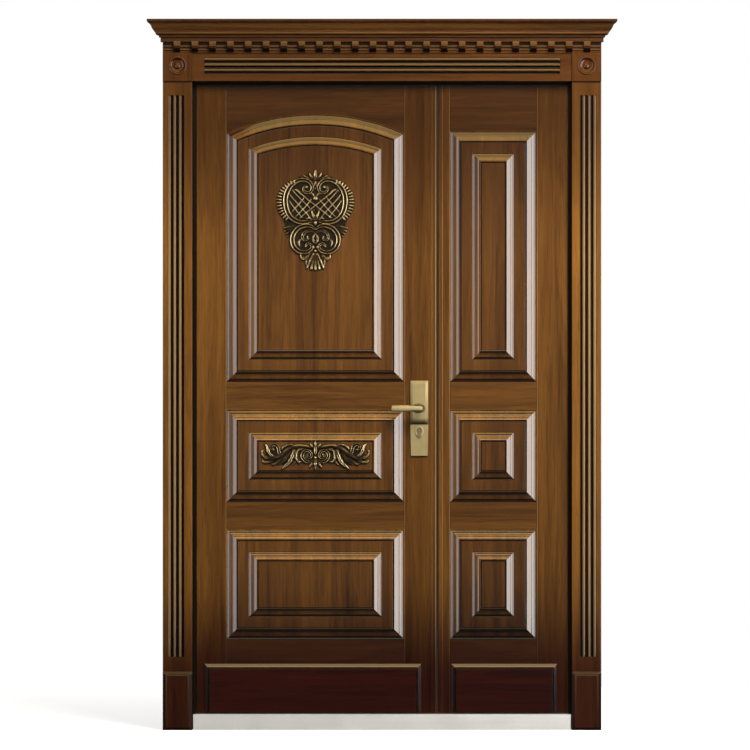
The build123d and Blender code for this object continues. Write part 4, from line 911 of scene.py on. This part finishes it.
# Carving: strokes of one half are laid on a grid and mirrored, the height field becomes the front, its edge
# dives under the panel face, and the same cells make the flat back. Rise says how far a point stands above
# what is round it, less where it lies deep.
def carving(name, look):
    pitch = look["pitch"]
    us = np.arange(-look["half"], look["half"] + pitch / 2, pitch)
    vs = np.arange(look["low"], look["high"] + pitch / 2, pitch)
    gu, gv = np.meshgrid(us, vs)
    gu, gv = gu / look["scale"], gv / look["scale"]
    folded = -np.abs(gu)
    fields = {"height": np.zeros_like(gu), "reach": np.full_like(gu, -9.0)}
    for outline, height in look["grounds"]:
        layGround(fields, folded, gv, outline, height)
    for stroke in look["strokes"]:
        layStroke(fields, folded, gv, *stroke)
    height = softened(fields["height"], 1)
    reach = softened(fields["reach"], 1)
    edge = np.maximum(reach * carveLook["edgeFall"], -carveLook["edgeDepth"])
    height = np.where(reach < 0, edge, height)
    above = height - softened(np.maximum(height, 0), carveLook["window"])
    rise = np.clip(carveLook["level"] + above / look["contrast"], 0, 1)
    rise = rise * np.interp(height, carveLook["deep"], look["depthTone"])
    keep = reach > -carveLook["margin"]
    cells = keep[:-1, :-1] & keep[1:, :-1] & keep[:-1, 1:] & keep[1:, 1:]
    rows, cols = gu.shape
    quads = gridQuads(rows, cols)[cells.ravel()]
    used, quads = np.unique(quads, return_inverse=True)
    quads = quads.reshape(-1, 4)
    count = len(used)
    x = look["middle"][0] + look["scale"] * gu.ravel()[used]
    z = look["middle"][1] + look["scale"] * gv.ravel()[used]
    front = np.stack([x, look["faceY"] - height.ravel()[used], z], -1)
    behind = np.stack([x, np.full(count, look["faceY"] + carveLook["back"]), z], -1)
    sides = np.concatenate([quads[:, [k, (k + 1) % 4]] for k in range(4)])
    code = np.sort(sides, 1) @ np.array([count, 1])
    single, times = np.unique(code, return_counts=True)
    border = sides[np.isin(code, single[times == 1])]
    walls = np.stack([border[:, 1], border[:, 0], border[:, 0] + count, border[:, 1] + count], -1)
    faces = np.concatenate([quads, quads[:, ::-1] + count, walls]).tolist()
    values = np.concatenate([rise.ravel()[used], np.zeros(count)])
    return makePiece(name, np.concatenate([front, behind]), faces, 50, {"rise": values})


# Short ribs set like rays along an arc from one angle to another, in degrees, round a centre.
def rays(kind, centre, angles, inner, outer, width, height):
    made = []
    for degrees in angles:
        ray = np.array([math.cos(math.radians(degrees)), math.sin(math.radians(degrees))])
        ends = [tuple(np.array(centre) + ray * far) for far in (inner, (inner + outer) / 2, outer)]
        made.append((kind, ends, [width * 0.7, width, width * 0.75], height))
    return made


medallionLook = {
    "middle": (-216.0, 1653.0), "scale": 1.0, "faceY": -5.0, "half": 131.0, "low": -167.0, "high": 167.0,
    "pitch": 1.15, "contrast": 3.0, "depthTone": (0.74, 1.04),
    "grounds": [
        ([(0, 96), (-14, 118), (-40, 128), (-74, 118), (-96, 88), (-102, 52), (-94, 18), (-70, -6),
          (-40, -14), (0, -8)], 2.2),
        ([(0, -12), (-30, -14), (-78, -20), (-78, -60), (-70, -96), (-44, -108), (0, -104)], 1.8),
        ([(0, 130), (-26, 134), (-38, 146), (0, 150)], 1.5),
        ([(0, -100), (-20, -100), (-22, -150), (0, -156)], 1.8),
        ([(-68, 2), (-104, 0), (-92, -28), (-76, -52), (-60, -30)], 1.6),
        ([(-20, 128), (-62, 131), (-88, 121), (-108, 102), (-120, 78), (-123, 56), (-120, 32), (-108, 10),
          (-92, -2), (-60, 0), (-60, 100)], 3.0),
    ],
    "strokes": [
        ("strap", [(-3, -2), (-26, -7), (-56, -6), (-82, 12), (-95, 42), (-96, 76), (-83, 107),
                   (-58, 127), (-32, 129), (-14, 117), (-11, 99), (-22, 88), (-36, 92), (-38, 104),
                   (-29, 109)],
         [4.5, 6.5, 8, 9, 9.5, 9.5, 9, 8, 7, 6.5, 6, 5.5, 5, 4.5, 3.5],
         [8, 8.5, 9, 9.5, 10, 10, 10, 9.5, 9, 9, 9, 9, 8, 8, 9]),
        ("round", [(-29, 106), (-28, 107)], [5.5, 5.5], [10, 10]),
        ("leaf", [(-78, 96), (-66, 98), (-52, 90), (-46, 76)], [2, 6, 7, 2], [5, 7, 8, 6], 3),
        ("round", [(-64, 98), (-44, 82), (-22, 64), (0, 47)], [3, 3.6, 3.6, 3.6], [7, 8.5, 8.5, 8.5]),
        ("round", [(0, 47), (-16, 34), (-34, 20), (-50, 6)], [3.6, 3.6, 3.6, 3], [8.5, 8.5, 8.5, 7]),
        ("round", [(-84, 62), (-72, 44), (-58, 26), (-44, 8)], [2.6, 3.4, 3.4, 2.6], [7, 8, 8, 7]),
        ("round", [(-84, 84), (-66, 62), (-48, 42), (-30, 22), (-20, 10)], [2.6, 3.4, 3.4, 3.4, 2.6],
         [7, 8, 8.5, 8, 7]),
        ("round", [(-74, 96), (-56, 76), (-38, 58), (-20, 40), (-8, 24)], [2.6, 3.2, 3.2, 3.2, 2.6],
         [7, 8, 8, 8, 7]),
        ("round", [(-78, 24), (-62, 42), (-46, 60), (-34, 76)], [2.6, 3.4, 3.4, 2.6], [7, 8, 8, 7]),
        ("round", [(-64, 10), (-46, 28), (-28, 48), (-14, 66)], [2.6, 3.4, 3.4, 2.6], [7, 8.5, 8.5, 7]),
        ("round", [(-1, 70), (0, 70)], [8.5, 8.5], [9, 9]),
        ("leaf", [(-4, 76), (-10, 84), (-18, 82)], [3, 5, 2.5], [7, 8, 6]),
        ("leaf", [(0, 40), (-7, 32), (-18, 34)], [3, 5, 2.5], [6, 7, 5]),
        ("leaf", [(0, 98), (-1, 112), (0, 126)], [2.5, 6.5, 3], [7, 9, 6]),
        ("leaf", [(-2, 0), (-6, 14), (-13, 26)], [4, 6.5, 2.5], [8, 10, 8]),
        ("leaf", [(-8, 0), (-20, 6), (-30, 2)], [3, 5, 2.5], [7, 8.5, 6]),
        ("leaf", [(0, 132), (-1, 148), (0, 164)], [5, 8, 3], [7, 9, 7], 2),
        ("leaf", [(-2, 132), (-14, 142), (-20, 154)], [4, 6, 2.5], [6, 8, 6], 2),
        ("leaf", [(-6, 130), (-24, 136), (-42, 146)], [4, 5.5, 2], [5, 7, 5], 2),
        ("leaf", [(-14, 128), (-36, 132), (-54, 140)], [3, 4.5, 2], [4, 6, 4], 2),
        ("round", [(0, -9), (0, -10)], [7, 7], [9, 9]),
        ("leaf", [(0, -2), (0, -9), (0, -18)], [3, 6, 3], [7, 10, 7]),
        ("strap", [(-2, -30), (-14, -21), (-32, -19), (-54, -26), (-70, -44), (-75, -66), (-68, -89),
                   (-50, -103), (-28, -104), (-13, -94), (-13, -82), (-25, -77), (-32, -86)],
         [4, 6, 7.5, 8.5, 9, 9, 8.5, 8, 7, 6, 5, 4.5, 3.5],
         [8, 9, 9.5, 9.5, 9.5, 9.5, 9, 9, 9, 8.5, 8.5, 8, 8]),
        ("strap", [(-6, -40), (-20, -36), (-34, -40), (-42, -54), (-36, -66), (-25, -62), (-26, -54)],
         [3.5, 4.5, 5, 5, 4.5, 4, 3], [6, 7.5, 8, 8, 8, 8, 8]),
        ("leaf", [(-44, -60), (-54, -72), (-50, -88)], [3, 6, 2.5], [5, 7, 5], 2),
        ("leaf", [(-1, -46), (-8, -58), (-4, -72), (0, -78)], [3, 5.5, 5, 3], [7, 8.5, 8, 7]),
        ("round", [(-7, -88), (-7, -89)], [6, 6], [9.5, 9.5]),
        ("round", [(0, -100), (0, -101)], [5.5, 5.5], [8, 8]),
        ("leaf", [(-20, -108), (-34, -126), (-46, -122), (-48, -112)], [4, 7.5, 6, 3], [6, 8, 8, 7], 3),
        ("leaf", [(-20, -112), (-30, -136), (-26, -152)], [4, 6.5, 2.5], [6, 8, 6], 2),
    ] + rays("round", (0, -96), (-114, -102, -90), 16, 64, 7.2, [7, 9, 7])
      + rays("round", (-50, 58), np.arange(106, 240, 8.4), 57, 74, 4.6, [6, 9, 8])
      + rays("leaf", (-44, -14), (192, 202, 212, 222, 232), 26, 60, 4.8, [4.5, 6, 4.5]),
}

scrollLook = {
    "middle": (-216.0, 888.0), "scale": 0.973, "faceY": -5.0, "half": 186.0, "low": -52.0, "high": 52.0,
    "pitch": 1.0, "contrast": 2.8, "depthTone": (0.70, 1.06),
    "grounds": [
        ([(0, 32), (-30, 35), (-70, 35), (-104, 18), (-120, 30), (-146, 32), (-160, 12), (-172, -4),
          (-150, -17), (-120, -25), (-98, -34), (-72, -22), (-45, -24), (0, -26)], 2.0),
    ],
    "strokes": [
        ("strap", [(-5, -14), (-16, -20), (-30, -19), (-42, -8), (-43, 6), (-33, 17), (-20, 15), (-13, 4),
                   (-18, -6), (-28, -7), (-31, 1), (-25, 5)],
         [3, 5, 6, 6.5, 6.5, 6, 5.5, 5, 4.5, 4.5, 4, 3.5], [6, 7, 8, 9, 9, 9, 8.5, 8, 8, 8, 8, 8.5]),
        ("leaf", [(-38, 23), (-54, 21), (-64, 9), (-65, -7), (-57, -19), (-47, -20)],
         [4, 6, 7.5, 7.5, 6, 3], [6, 8, 9, 9, 8.5, 7], 3),
        ("round", [(-10, 26), (-28, 31), (-48, 33), (-68, 31), (-86, 24), (-102, 12), (-118, 0),
                   (-136, -8), (-152, -8), (-164, 0)],
         [4, 6, 7, 8, 8.5, 8.5, 8, 7, 6, 4], [5, 6, 6.5, 7, 7, 7, 6.5, 6, 6, 5]),
        ("leaf", [(-70, 26), (-74, 8), (-80, -9), (-90, -25), (-105, -37), (-112, -44)],
         [5, 9, 11, 10, 6, 2.5], [6, 9, 10.5, 10, 8.5, 6], 5),
        ("leaf", [(-86, 16), (-97, -4), (-110, -19), (-124, -29)], [5, 8.5, 7.5, 3], [5, 6.2, 6, 4.5], 3),
        ("leaf", [(-62, -10), (-68, -21), (-78, -31)], [4, 6, 2.5], [5, 6, 4.5], 2),
        ("strap", [(-116, 2), (-122, 15), (-125, 28), (-134, 37), (-145, 35), (-148, 26), (-140, 21)],
         [5, 6.5, 7, 6.5, 6, 5, 4], [7, 8, 9, 9, 9, 8.5, 8]),
        ("leaf", [(-138, -4), (-150, 4), (-158, 18), (-162, 32), (-170, 41)], [5, 8.5, 9, 7, 2.5],
         [6, 9, 10.5, 10, 7], 3),
        ("leaf", [(-148, -6), (-164, -6), (-176, 2), (-179, 14), (-173, 20)], [5, 7, 6, 5, 2.5],
         [5.5, 7.5, 8, 8, 6], 2),
        ("leaf", [(-136, -11), (-152, -20), (-170, -21), (-178, -13)], [5, 7, 6, 2.5], [5, 6.5, 6.5, 5], 2),
        ("leaf", [(-108, -6), (-122, -19), (-138, -27), (-150, -24)], [5, 7, 6, 3], [5, 6.2, 6, 4.5], 2),
        ("leaf", [(-68, 33), (-88, 37), (-104, 31), (-113, 21)], [4, 6.5, 6, 3], [6, 8, 8, 6], 2),
        ("leaf", [(0, 4), (-1, 19), (0, 33)], [5, 8, 4], [7, 9.5, 7], 2),
        ("leaf", [(0, 32), (0, 40), (0, 48)], [5, 6, 2.5], [7, 8.5, 6]),
        ("leaf", [(-4, 25), (-13, 34), (-17, 42)], [4, 6, 2], [6, 8, 6], 2),
        ("leaf", [(0, -10), (0, -27), (0, -48)], [5, 8.5, 2.5], [7, 9.5, 6], 3),
        ("leaf", [(-4, -15), (-13, -28), (-21, -39)], [4, 6.5, 2.5], [6, 8, 6], 2),
        ("round", [(0, -5), (0, -6)], [6, 6], [9, 9]),
    ],
}

carvedFinish = antiqueBronze("bronzeCarved", bronzeLook, "rise")
settle(carving("main_medallion_carved", medallionLook), "main_leaf", "bronze_carving", carvedFinish,
       "main_medallion")
settle(carving("main_scroll_carved", scrollLook), "main_leaf", "bronze_carving", carvedFinish,
       "main_scroll_ornament")
print("carvings made")


# lock furniture
leverLook = {
    "x": 120.97, "z": 1042.0, "y": -47.4, "seat": -10.4, "neck": 9.0, "ring": 28, "ringGrid": (72, 10),
    "steps": [(-90.0, 7.6, 5.0), (-89.4, 9.0, 6.2), (-87.5, 9.8, 6.8), (-60.0, 10.4, 7.0),
              (-36.0, 10.4, 7.0), (-33.0, 10.2, 6.9), (-32.2, 9.2, 6.2),
              (-30.6, 9.2, 6.2), (-30.0, 9.8, 6.6), (-20.0, 8.6, 6.4), (-2.0, 8.2, 6.2), (6.0, 7.8, 6.0),
              (9.0, 6.4, 5.2), (10.6, 3.8, 3.6)],
    "neckSteps": [(6.0, 0.88), (2.0, 0.94), (0.0, 1.0)],
    "rose": {"place": (118.2, 1042.0), "half": (19.0, 12.2), "y": -9.2, "tube": (3.4, 1.1)},
    "escutcheon": {"place": (120.97, 967.0), "half": (11.4, 15.0), "y": -4.6, "tube": (2.0, 1.0)},
}
plateLook = {
    "x": 120.97, "top": 1132.0, "foot": 887.0, "half": 29.5, "footHalf": 27.0, "base": 2.0, "bevel": 9.0,
    "edge": 1.6,
    "step": 1008.0, "under": 990.0, "raise": (4.0, 7.4), "boss": (120.97, 967.0, 13.2, 16.8),
    "bossRise": 2.4,
    # painted shade under the hood, by height
    "hollow": ([987.0, 991.0, 998.0, 1006.0, 1013.0], [0.0, 1.0, 0.9, 0.4, 0.0]),
}


# Lock plate: a tapering plate with rounded arrises; its upper part is a hood that climbs from the bevels at
# its sides and top, leans out towards its foot and rolls back there over a quarter ellipse. An oval boss
# carries the keyhole ring. Painted shade lies in the hollow under the hood.
def lockPlate(x, z):
    look = plateLook
    inside = np.minimum(look["half"] - np.abs(x - look["x"]), look["top"] - z)
    lean = np.interp(z, [look["step"], look["top"]], look["raise"][::-1])
    fall = np.clip((z - look["under"]) / (look["step"] - look["under"]), 0, 1)
    hood = lean * np.clip(inside / look["bevel"], 0, 1) * np.sqrt(1 - (1 - fall) ** 2)
    bossX, bossZ, halfX, halfZ = look["boss"]
    oval = np.hypot((x - bossX) / halfX, (z - bossZ) / halfZ)
    boss = look["bossRise"] * np.clip((1 - oval) * 8, 0, 1)
    rim = roundedEdge(np.minimum(inside, z - look["foot"]), look["edge"])
    return look["base"] + hood + boss + rim, np.interp(z, *look["hollow"])


# The plate's sides lean in below the step: x runs from the middle in proportion to the half width at its
# height.
def plateTaper(x, z):
    look = plateLook
    half = np.interp(z, [look["foot"], look["step"]], [look["footHalf"], look["half"]])
    return look["x"] + (x - look["x"]) * half / look["half"]


# Lever: flattened round sections, a squared circle of half height and half thickness at each place along the
# grip, and a flared round neck back to its rose.
def leverGrip(name):
    look = leverLook
    cols = look["ring"]
    along, tall, thick = np.array(look["steps"]).T[..., None]
    turn = np.linspace(0, 2 * math.pi, cols, endpoint=False)
    squared = lambda wave: np.sign(wave) * np.abs(wave) ** 0.75
    gripY, gripZ = look["y"] + thick * squared(np.cos(turn)), look["z"] + tall * squared(np.sin(turn))
    grip = np.stack([look["x"] + along + 0 * turn, gripY, gripZ], -1)
    before, flare = np.array(look["neckSteps"]).T[..., None]
    depth = np.concatenate([[[look["y"]]], look["seat"] - before])
    radius = np.concatenate([flare[:1], flare]) * look["neck"]
    neck = np.stack([look["x"] + radius * np.cos(turn), depth + 0 * turn,
                     look["z"] + radius * np.sin(turn)], -1)
    faces, first = [], 0
    for tube in (grip, neck):
        last = first + (len(tube) - 1) * cols
        faces += (gridQuads(len(tube), cols, True) + first).tolist()
        faces += [list(range(first, first + cols)), list(range(last, last + cols))]
        first = last + cols
    points = np.concatenate([grip.reshape(-1, 3), neck.reshape(-1, 3)])
    return makePiece(name, points, faces, 30)


# Oval ring: a flattened tube, wide and thin, carried round an ellipse.
def ovalRing(name, look):
    rows, cols = leverLook["ringGrid"]
    around = np.linspace(0, 2 * math.pi, rows, endpoint=False)[:, None]
    turn = np.linspace(0, 2 * math.pi, cols, endpoint=False)[None, :]
    reach = look["tube"][0] * np.cos(turn)
    px = look["place"][0] + (look["half"][0] + reach) * np.cos(around)
    pz = look["place"][1] + (look["half"][1] + reach) * np.sin(around)
    py = look["y"] - look["tube"][1] * np.sin(turn) + 0 * around
    faces = gridQuads(rows + 1, cols, True) % (rows * cols)
    return makePiece(name, np.stack([px, py, pz], -1).reshape(-1, 3), faces.tolist(), 60)


leverFinish, roseShadowFinish, brightFinish = (brushedMetal(name, metalLook[key]) for name, key in (
    ("lockLever", "lever"), ("lockShadow", "ring"), ("lockBright", "bright")))
settle(leverGrip("outer_lever_shaped"), "lever", "lock_metal", leverFinish, "outer_lever")
# a dark oval rim round the lever's rose, a painted shadow where the rose's edge casts shade
settle(ovalRing("lever_rose_shadow_ring", leverLook["rose"]), "main_leaf", "lock_metal", roseShadowFinish)
settle(ovalRing("escutcheon_ring", leverLook["escutcheon"]), "main_leaf", "lock_metal", brightFinish)
left, right = plateLook["x"] - plateLook["half"], plateLook["x"] + plateLook["half"]
levels = [plateLook[key] for key in ("foot", "under", "step", "top")]
plate = reliefBlock("outer_lock_plate_hooded", crowded(left, right, 0.9, [left, right]),
                    crowded(levels[0], levels[-1], 1.2, levels), lockPlate, 30, panelLook["stileFace"],
                    plateTaper)
settle(plate, "main_leaf", "lock_metal", finishes["lock_metal"], "outer_lock_plate")
print("lock furniture made")


# meeting brush

brushLook = {
    "rows": 408, "ripple": 0.5,
    "strips": {
        "meeting_brush": {"x": (177.0, 182.46), "y": (9.0, 16.0), "z": (51.5, 2089.5)},
        "core_brush": {"x": (174.0, 182.46), "y": (20.0, 27.0), "z": (47.5, 2097.0)},
    },
}


# Brush pile between the leaves: a rounded rectangle carried up the edge, its front rippling where the tufts
# part.
def meetingBrush(name, strip):
    turn = np.linspace(0, 2 * math.pi, 16, endpoint=False)[None, :]
    z = np.linspace(*strip["z"], brushLook["rows"])[:, None]
    (left, right), (front, back) = strip["x"], strip["y"]
    boxed = np.maximum(np.abs(np.cos(turn)), np.abs(np.sin(turn))) ** 0.9
    tuft = brushLook["ripple"] * np.sin(z * 1.9) * np.sin(z * 0.73 + 1)
    px = (left + right) / 2 + (right - left) / 2 * np.cos(turn) / boxed + 0 * z
    py = (front + back) / 2 + ((back - front) / 2 + tuft) * np.sin(turn) / boxed
    rows, cols = py.shape
    faces = gridQuads(rows, cols, True).tolist() + [list(range(cols)),
                                                    list(range((rows - 1) * cols, rows * cols))]
    return makePiece(name, np.stack([px, py, z + 0 * px], -1).reshape(-1, 3), faces, 40)


pileFinish = mottled("brushPile", plainLook["pile"])
for stripName, strip in brushLook["strips"].items():
    settle(meetingBrush(stripName, strip), "side_leaf", "seal_rubber", pileFinish)
print("brush made")


# studio

studio = {
    "middle": (-0.0227, 1.150), "distance": 16.0, "span": 2.430, "faceY": -0.02, "sensor": 36.0,
    "lamps": {
        "right": {"place": (2.3, -2.45, 1.4), "size": (1.8, 2.7), "radiance": 11.0,
                  "colour": (1.0, 0.98, 0.94), "aim": (0.0, 0.0, 1.15), "seenBy": "glossy"},
        "left": {"place": (-2.4, -2.4, 1.4), "size": (1.6, 2.6), "radiance": 4.6,
                 "colour": (1.0, 0.98, 0.95), "aim": (0.0, 0.0, 1.15), "seenBy": "glossy"},
        "sheen": {"place": (0.0, -3.6, 3.15), "size": (3.4, 0.5), "radiance": 6.0,
                  "colour": (1.0, 0.84, 0.52), "aim": (0.0, 0.0, 0.2), "seenBy": "glossy"},
        "warm": {"place": (0.0, -2.9, 5.0), "size": (3.0, 2.0), "radiance": 3.2,
                 "colour": (1.0, 0.74, 0.26), "aim": (0.0, 0.0, 1.5), "seenBy": "glossy"},
        "key": {"place": (1.3, -2.7, 4.3), "size": (2.2, 1.8), "radiance": 48.0,
                "colour": (1.0, 0.94, 0.82), "aim": (0.0, 0.0, 1.1), "seenBy": "diffuse"},
        "behind": {"place": (-0.8, 6.0, 3.4), "size": (4.0, 3.0), "radiance": 14.0,
                   "colour": (1.0, 0.97, 0.93), "aim": (0.0, 0.0, 1.1), "seenBy": "diffuse",
                   "shadow": False},
        "fill": {"place": (-0.6, -7.5, 2.2), "size": (4.0, 2.4), "radiance": 3.6,
                 "colour": (1.0, 0.97, 0.93), "aim": (0.0, 0.0, 1.1), "seenBy": "diffuse"},
    },
}


# Softbox facing a point: an area lamp whose power is radiance times area times pi, lit only for shine or
# only for body colour; the one behind throws no shadow on the floor in front.
def softbox(name, look):
    lamp = bpy.data.lights.new(name, "AREA")
    lamp.shape = "RECTANGLE"
    lamp.size, lamp.size_y = look["size"]
    lamp.energy = look["radiance"] * look["size"][0] * look["size"][1] * math.pi
    lamp.color = look["colour"]
    lamp.use_shadow = look.get("shadow", True)
    holder = bpy.data.objects.new(name, lamp)
    scene.collection.objects.link(holder)
    holder.location = look["place"]
    towards = mathutils.Vector(look["aim"]) - holder.location
    holder.rotation_euler = towards.to_track_quat("-Z", "Y").to_euler()
    holder.visible_camera = False
    holder.visible_glossy = look["seenBy"] == "glossy"
    holder.visible_diffuse = look["seenBy"] == "diffuse"


for lampName, lampLook in studio["lamps"].items():
    softbox(lampName + "Softbox", lampLook)

world = bpy.data.worlds.new("studioWorld")
scene.world = world
world.use_nodes = True
sky = world.node_tree
backdrop = sky.nodes["Background"]
seen = sky.nodes.new("ShaderNodeBackground")
pick = sky.nodes.new("ShaderNodeMixShader")
backdrop.inputs["Color"].default_value = (0.9, 0.93, 1.0, 1)
backdrop.inputs["Strength"].default_value = 0.10
seen.inputs["Color"].default_value = (1, 1, 1, 1)
seen.inputs["Strength"].default_value = 1.0
sky.links.new(sky.nodes.new("ShaderNodeLightPath").outputs["Is Camera Ray"], pick.inputs["Fac"])
sky.links.new(backdrop.outputs["Background"], pick.inputs[1])
sky.links.new(seen.outputs["Background"], pick.inputs[2])
sky.links.new(pick.outputs["Shader"], sky.nodes["World Output"].inputs["Surface"])

floorLook = {"half": 3.2, "lines": 5, "front": -5.5, "back": 2.2, "colour": (0.40, 0.40, 0.395, 1),
             "second": (0.44, 0.44, 0.435, 1), "glow": 0.60}
lines = floorLook["lines"]
xs, ys = np.meshgrid(np.linspace(-floorLook["half"], floorLook["half"], lines),
                     np.linspace(floorLook["front"], floorLook["back"], lines))
spread = np.stack([xs, ys, 0 * xs], -1).reshape(-1, 3) / mm
floor = makePiece("studio_floor", spread, gridQuads(lines, lines)[:, ::-1].tolist())
floorFinish, floorShader, floorPlace = freshMaterial("paleFloor")
speckle = streaks(floorPlace, (60, 60, 60), (0, 0, 0), 3.0, 0.6)
floorColour = blendColours(floorPlace, speckle, floorLook["colour"], floorLook["second"])
feed(floorShader, floorPlace, Base_Color=floorColour, Roughness=0.6 + speckle * 0.2,
     Emission_Color=(1, 1, 1, 1), Emission_Strength=floorLook["glow"])
floor.data.materials.append(floorFinish)
floor.visible_glossy = False  # keeps the varnish clear of floor glare
floor.visible_diffuse = False

camera = bpy.data.objects.new("photoCamera", bpy.data.cameras.new("photoCamera"))
scene.collection.objects.link(camera)
camera.location = (studio["middle"][0], -studio["distance"], studio["middle"][1])
camera.rotation_euler = (math.pi / 2, 0, 0)
camera.data.sensor_width = studio["sensor"]
camera.data.lens = studio["sensor"] * (studio["distance"] + studio["faceY"]) / studio["span"]
camera.data.clip_end = 60.0
scene.camera = camera
scene.view_settings.view_transform = "Standard"
print("studio set")
